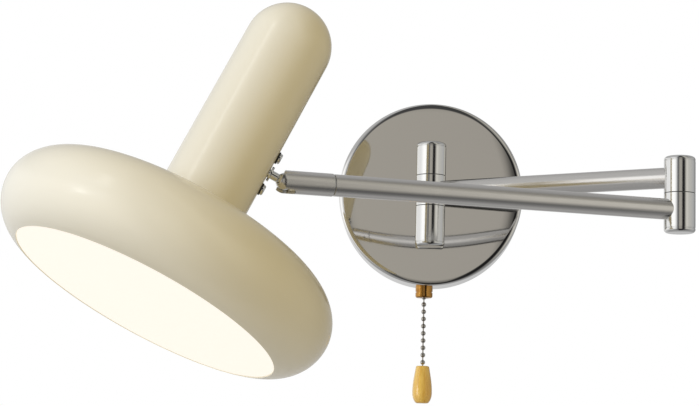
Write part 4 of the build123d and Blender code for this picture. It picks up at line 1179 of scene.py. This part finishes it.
class WALLLAMP_OT_ball_joint(bpy.types.Operator):
    """Turns and cuts the swivel sleeve with its ball cup, and turns the ball stud"""

    bl_idname = "walllamp.ball_joint"
    bl_label = "Ball Joint"

    def execute(self, context):
        chrome = made("polished_chrome")
        tube_chrome = made("drawn_tube_chrome")
        zinc = made("zinc_plate")
        sleeve = turned("swivel_sleeve_turned", sleeve_outline())
        slot_end = CUP_SLOT_BACK + CUP_SLOT_HALF_WIDTH
        reach = CUP_CUT_REACH
        cuts = (
            ((reach, 2 * reach, 2 * reach),
             turn(-CUP_CUT_ANGLE, "Y") @ shift(CUP_CUT_DISTANCE + reach / 2, 0, 0)),
            ((reach, 2 * CUP_SLOT_HALF_WIDTH, reach), shift(slot_end + reach / 2, 0, -reach / 2)),
        )
        make_active(sleeve)
        sleeve.matrix_world = ALONG_X
        bpy.ops.object.transform_apply(location=True, rotation=True, scale=True)
        for size, place in cuts:
            start_clean()
            bpy.ops.mesh.primitive_cube_add(size=MM)
            cut(sleeve, bpy.context.object, place @ Matrix.Diagonal((*size, 1)))
        bore(sleeve, CUP_SLOT_HALF_WIDTH, -reach, 0, shift(slot_end, 0, 0))
        hole = shift(LOCK_SCREW_OFFSET - SLEEVE_TO_BALL, 0, 0) @ turn(90, "X")
        bore(sleeve, LOCK_SCREW_RADIUS, 0, reach, hole)
        finish_piece(sleeve, SLEEVE, tube_chrome, "joint_sleeve", "polished_chrome", "swivel_sleeve")
        stud = turned("ball_stud_turned", stud_outline())
        finish_piece(stud, STUD @ ALONG_X, chrome, "ball_stud", "polished_chrome", "ball_stud")
        dress(zinc, "lock_screw", "disc_springs", "stud_nut")
        dress(made("white_nylon"), "ball_seat")
        return {"FINISHED"}


class WALLLAMP_OT_head(bpy.types.Operator):
    """Spins the neck and the shade, and finishes the light inside them"""

    bl_idname = "walllamp.head"
    bl_label = "Head"

    def execute(self, context):
        finish = context.scene.wall_lamp_finish
        enamel = cream_enamel(finish.enamel)
        zinc = made("zinc_plate")
        neck = turned("neck_spun", neck_outline(), WIDE_SEGMENTS)
        bore(neck, STUD_HOLE_RADIUS, *NECK_BORE, ALONG_X)
        for side in (1, -1):
            screw_hole = shift(0, 0, side * NECK_SCREW_Z) @ ALONG_X
            bore(neck, NECK_SCREW_HOLE_RADIUS, *NECK_BORE, screw_hole)
        finish_piece(neck, HEAD, enamel, "head", "cream_enamel", "neck_tube")
        shade = turned("shade_spun", shade_outline(), WIDE_SEGMENTS)
        finish_piece(shade, HEAD, enamel, "head", "cream_enamel", "shade_shell")
        disc = turned("diffuser_disc", diffuser_outline(), WIDE_SEGMENTS)
        finish_piece(disc, HEAD, opal_acrylic(finish.glow), "head", "diffuser_opal", "diffuser")
        dress(made("polished_chrome"), "neck_screws")
        dress(made("black_phenolic"), "neck_screw_washers")
        dress(zinc, "swivel_plate", "spreader_screws", "diffuser_ring", "driver_bracket")
        dress(rolled_aluminium(), "neck_ring", "support_pillars", "heat_spreader")
        dress(moulded_plastic("white_solder_mask", "#E8EAE8", "#F0F1EF"), "led_board")
        dress(moulded_plastic("white_reflector", "#EEEDEA", "#F6F5F2"), "reflector")
        dress(made("white_nylon"), "driver")
        dress(led_phosphor(), "leds")
        dress(made("pvc_wire_sheath"), "head_wiring")
        return {"FINISHED"}


class WALLLAMP_OT_pull(bpy.types.Operator):
    """Makes the bead chain and its turned wooden pull"""

    bl_idname = "walllamp.pull"
    bl_label = "Pull"

    def execute(self, context):
        finish = context.scene.wall_lamp_finish
        nickel = nickel_plate()
        top_bead = turned("chain_top_bead_formed", bead_outline(), BEAD_SEGMENTS)
        place = PULL @ shift(0, 0, TOP_BEAD_Z)
        finish_piece(top_bead, place, nickel, "chain_link", "nickel_plate", "chain_top_bead")
        pin = -BEAD_PITCH + BEAD_DIMPLE
        link = turned("bead_chain_formed", bead_outline(pin), BEAD_SEGMENTS)
        links = [
            copy_of(link, shift(0, 0, TOP_BEAD_Z - i * BEAD_PITCH)) for i in range(2, BEAD_COUNT + 1)
        ]
        link.matrix_world = shift(0, 0, TOP_BEAD_Z - BEAD_PITCH)
        top = TOP_BEAD_Z - BEAD_RADIUS - STACK_GAP
        foot = TOP_BEAD_Z - BEAD_PITCH + BEAD_DIMPLE
        shank_outline = [(0, foot), (LINK_RADIUS, foot), (LINK_RADIUS, top), (0, top)]
        shank = turned("link", shank_outline, BEAD_SEGMENTS)
        chain = joined("bead_chain_formed", [link, *links, shank])
        finish_piece(chain, PULL, nickel, "pull_chain", "nickel_plate", "bead_chain")
        pull = turned("wooden_pull_turned", pull_outline(), NARROW_SEGMENTS)
        wood = turned_beech(finish.wood, finish.grain)
        finish_piece(pull, PULL, wood, "pull_chain", "turned_wood", "wooden_pull")
        dress(made("polished_brass"), "switch_plunger")
        return {"FINISHED"}


class WALLLAMP_PT_panel(bpy.types.Panel):
    """Lists the lamp's finishes and the steps that build it"""

    bl_label = "Wall Lamp"
    bl_space_type = "VIEW_3D"
    bl_region_type = "UI"
    bl_category = "Wall Lamp"

    def draw(self, context):
        finish = context.scene.wall_lamp_finish
        for name in ("enamel", "glow", "wood", "grain"):
            self.layout.prop(finish, name)
        for step in STEPS:
            self.layout.operator(step.bl_idname)


STEPS = (
    WALLLAMP_OT_stage, WALLLAMP_OT_canopy, WALLLAMP_OT_post, WALLLAMP_OT_rear_arm,
    WALLLAMP_OT_front_arm, WALLLAMP_OT_ball_joint, WALLLAMP_OT_head, WALLLAMP_OT_pull,
)
CLASSES = (WallLampFinish, *STEPS, WALLLAMP_PT_panel)


def register():
    for item in CLASSES:
        bpy.utils.register_class(item)
    bpy.types.Scene.wall_lamp_finish = bpy.props.PointerProperty(type=WallLampFinish)


def unregister():
    del bpy.types.Scene.wall_lamp_finish
    for item in reversed(CLASSES):
        bpy.utils.unregister_class(item)


def main():
    register()
    bpy.ops.walllamp.stage()
    bpy.ops.walllamp.canopy()
    bpy.ops.walllamp.post()
    bpy.ops.walllamp.rear_arm()
    bpy.ops.walllamp.front_arm()
    bpy.ops.walllamp.ball_joint()
    bpy.ops.walllamp.head()
    bpy.ops.walllamp.pull()


if __name__ == "__main__":
    main()
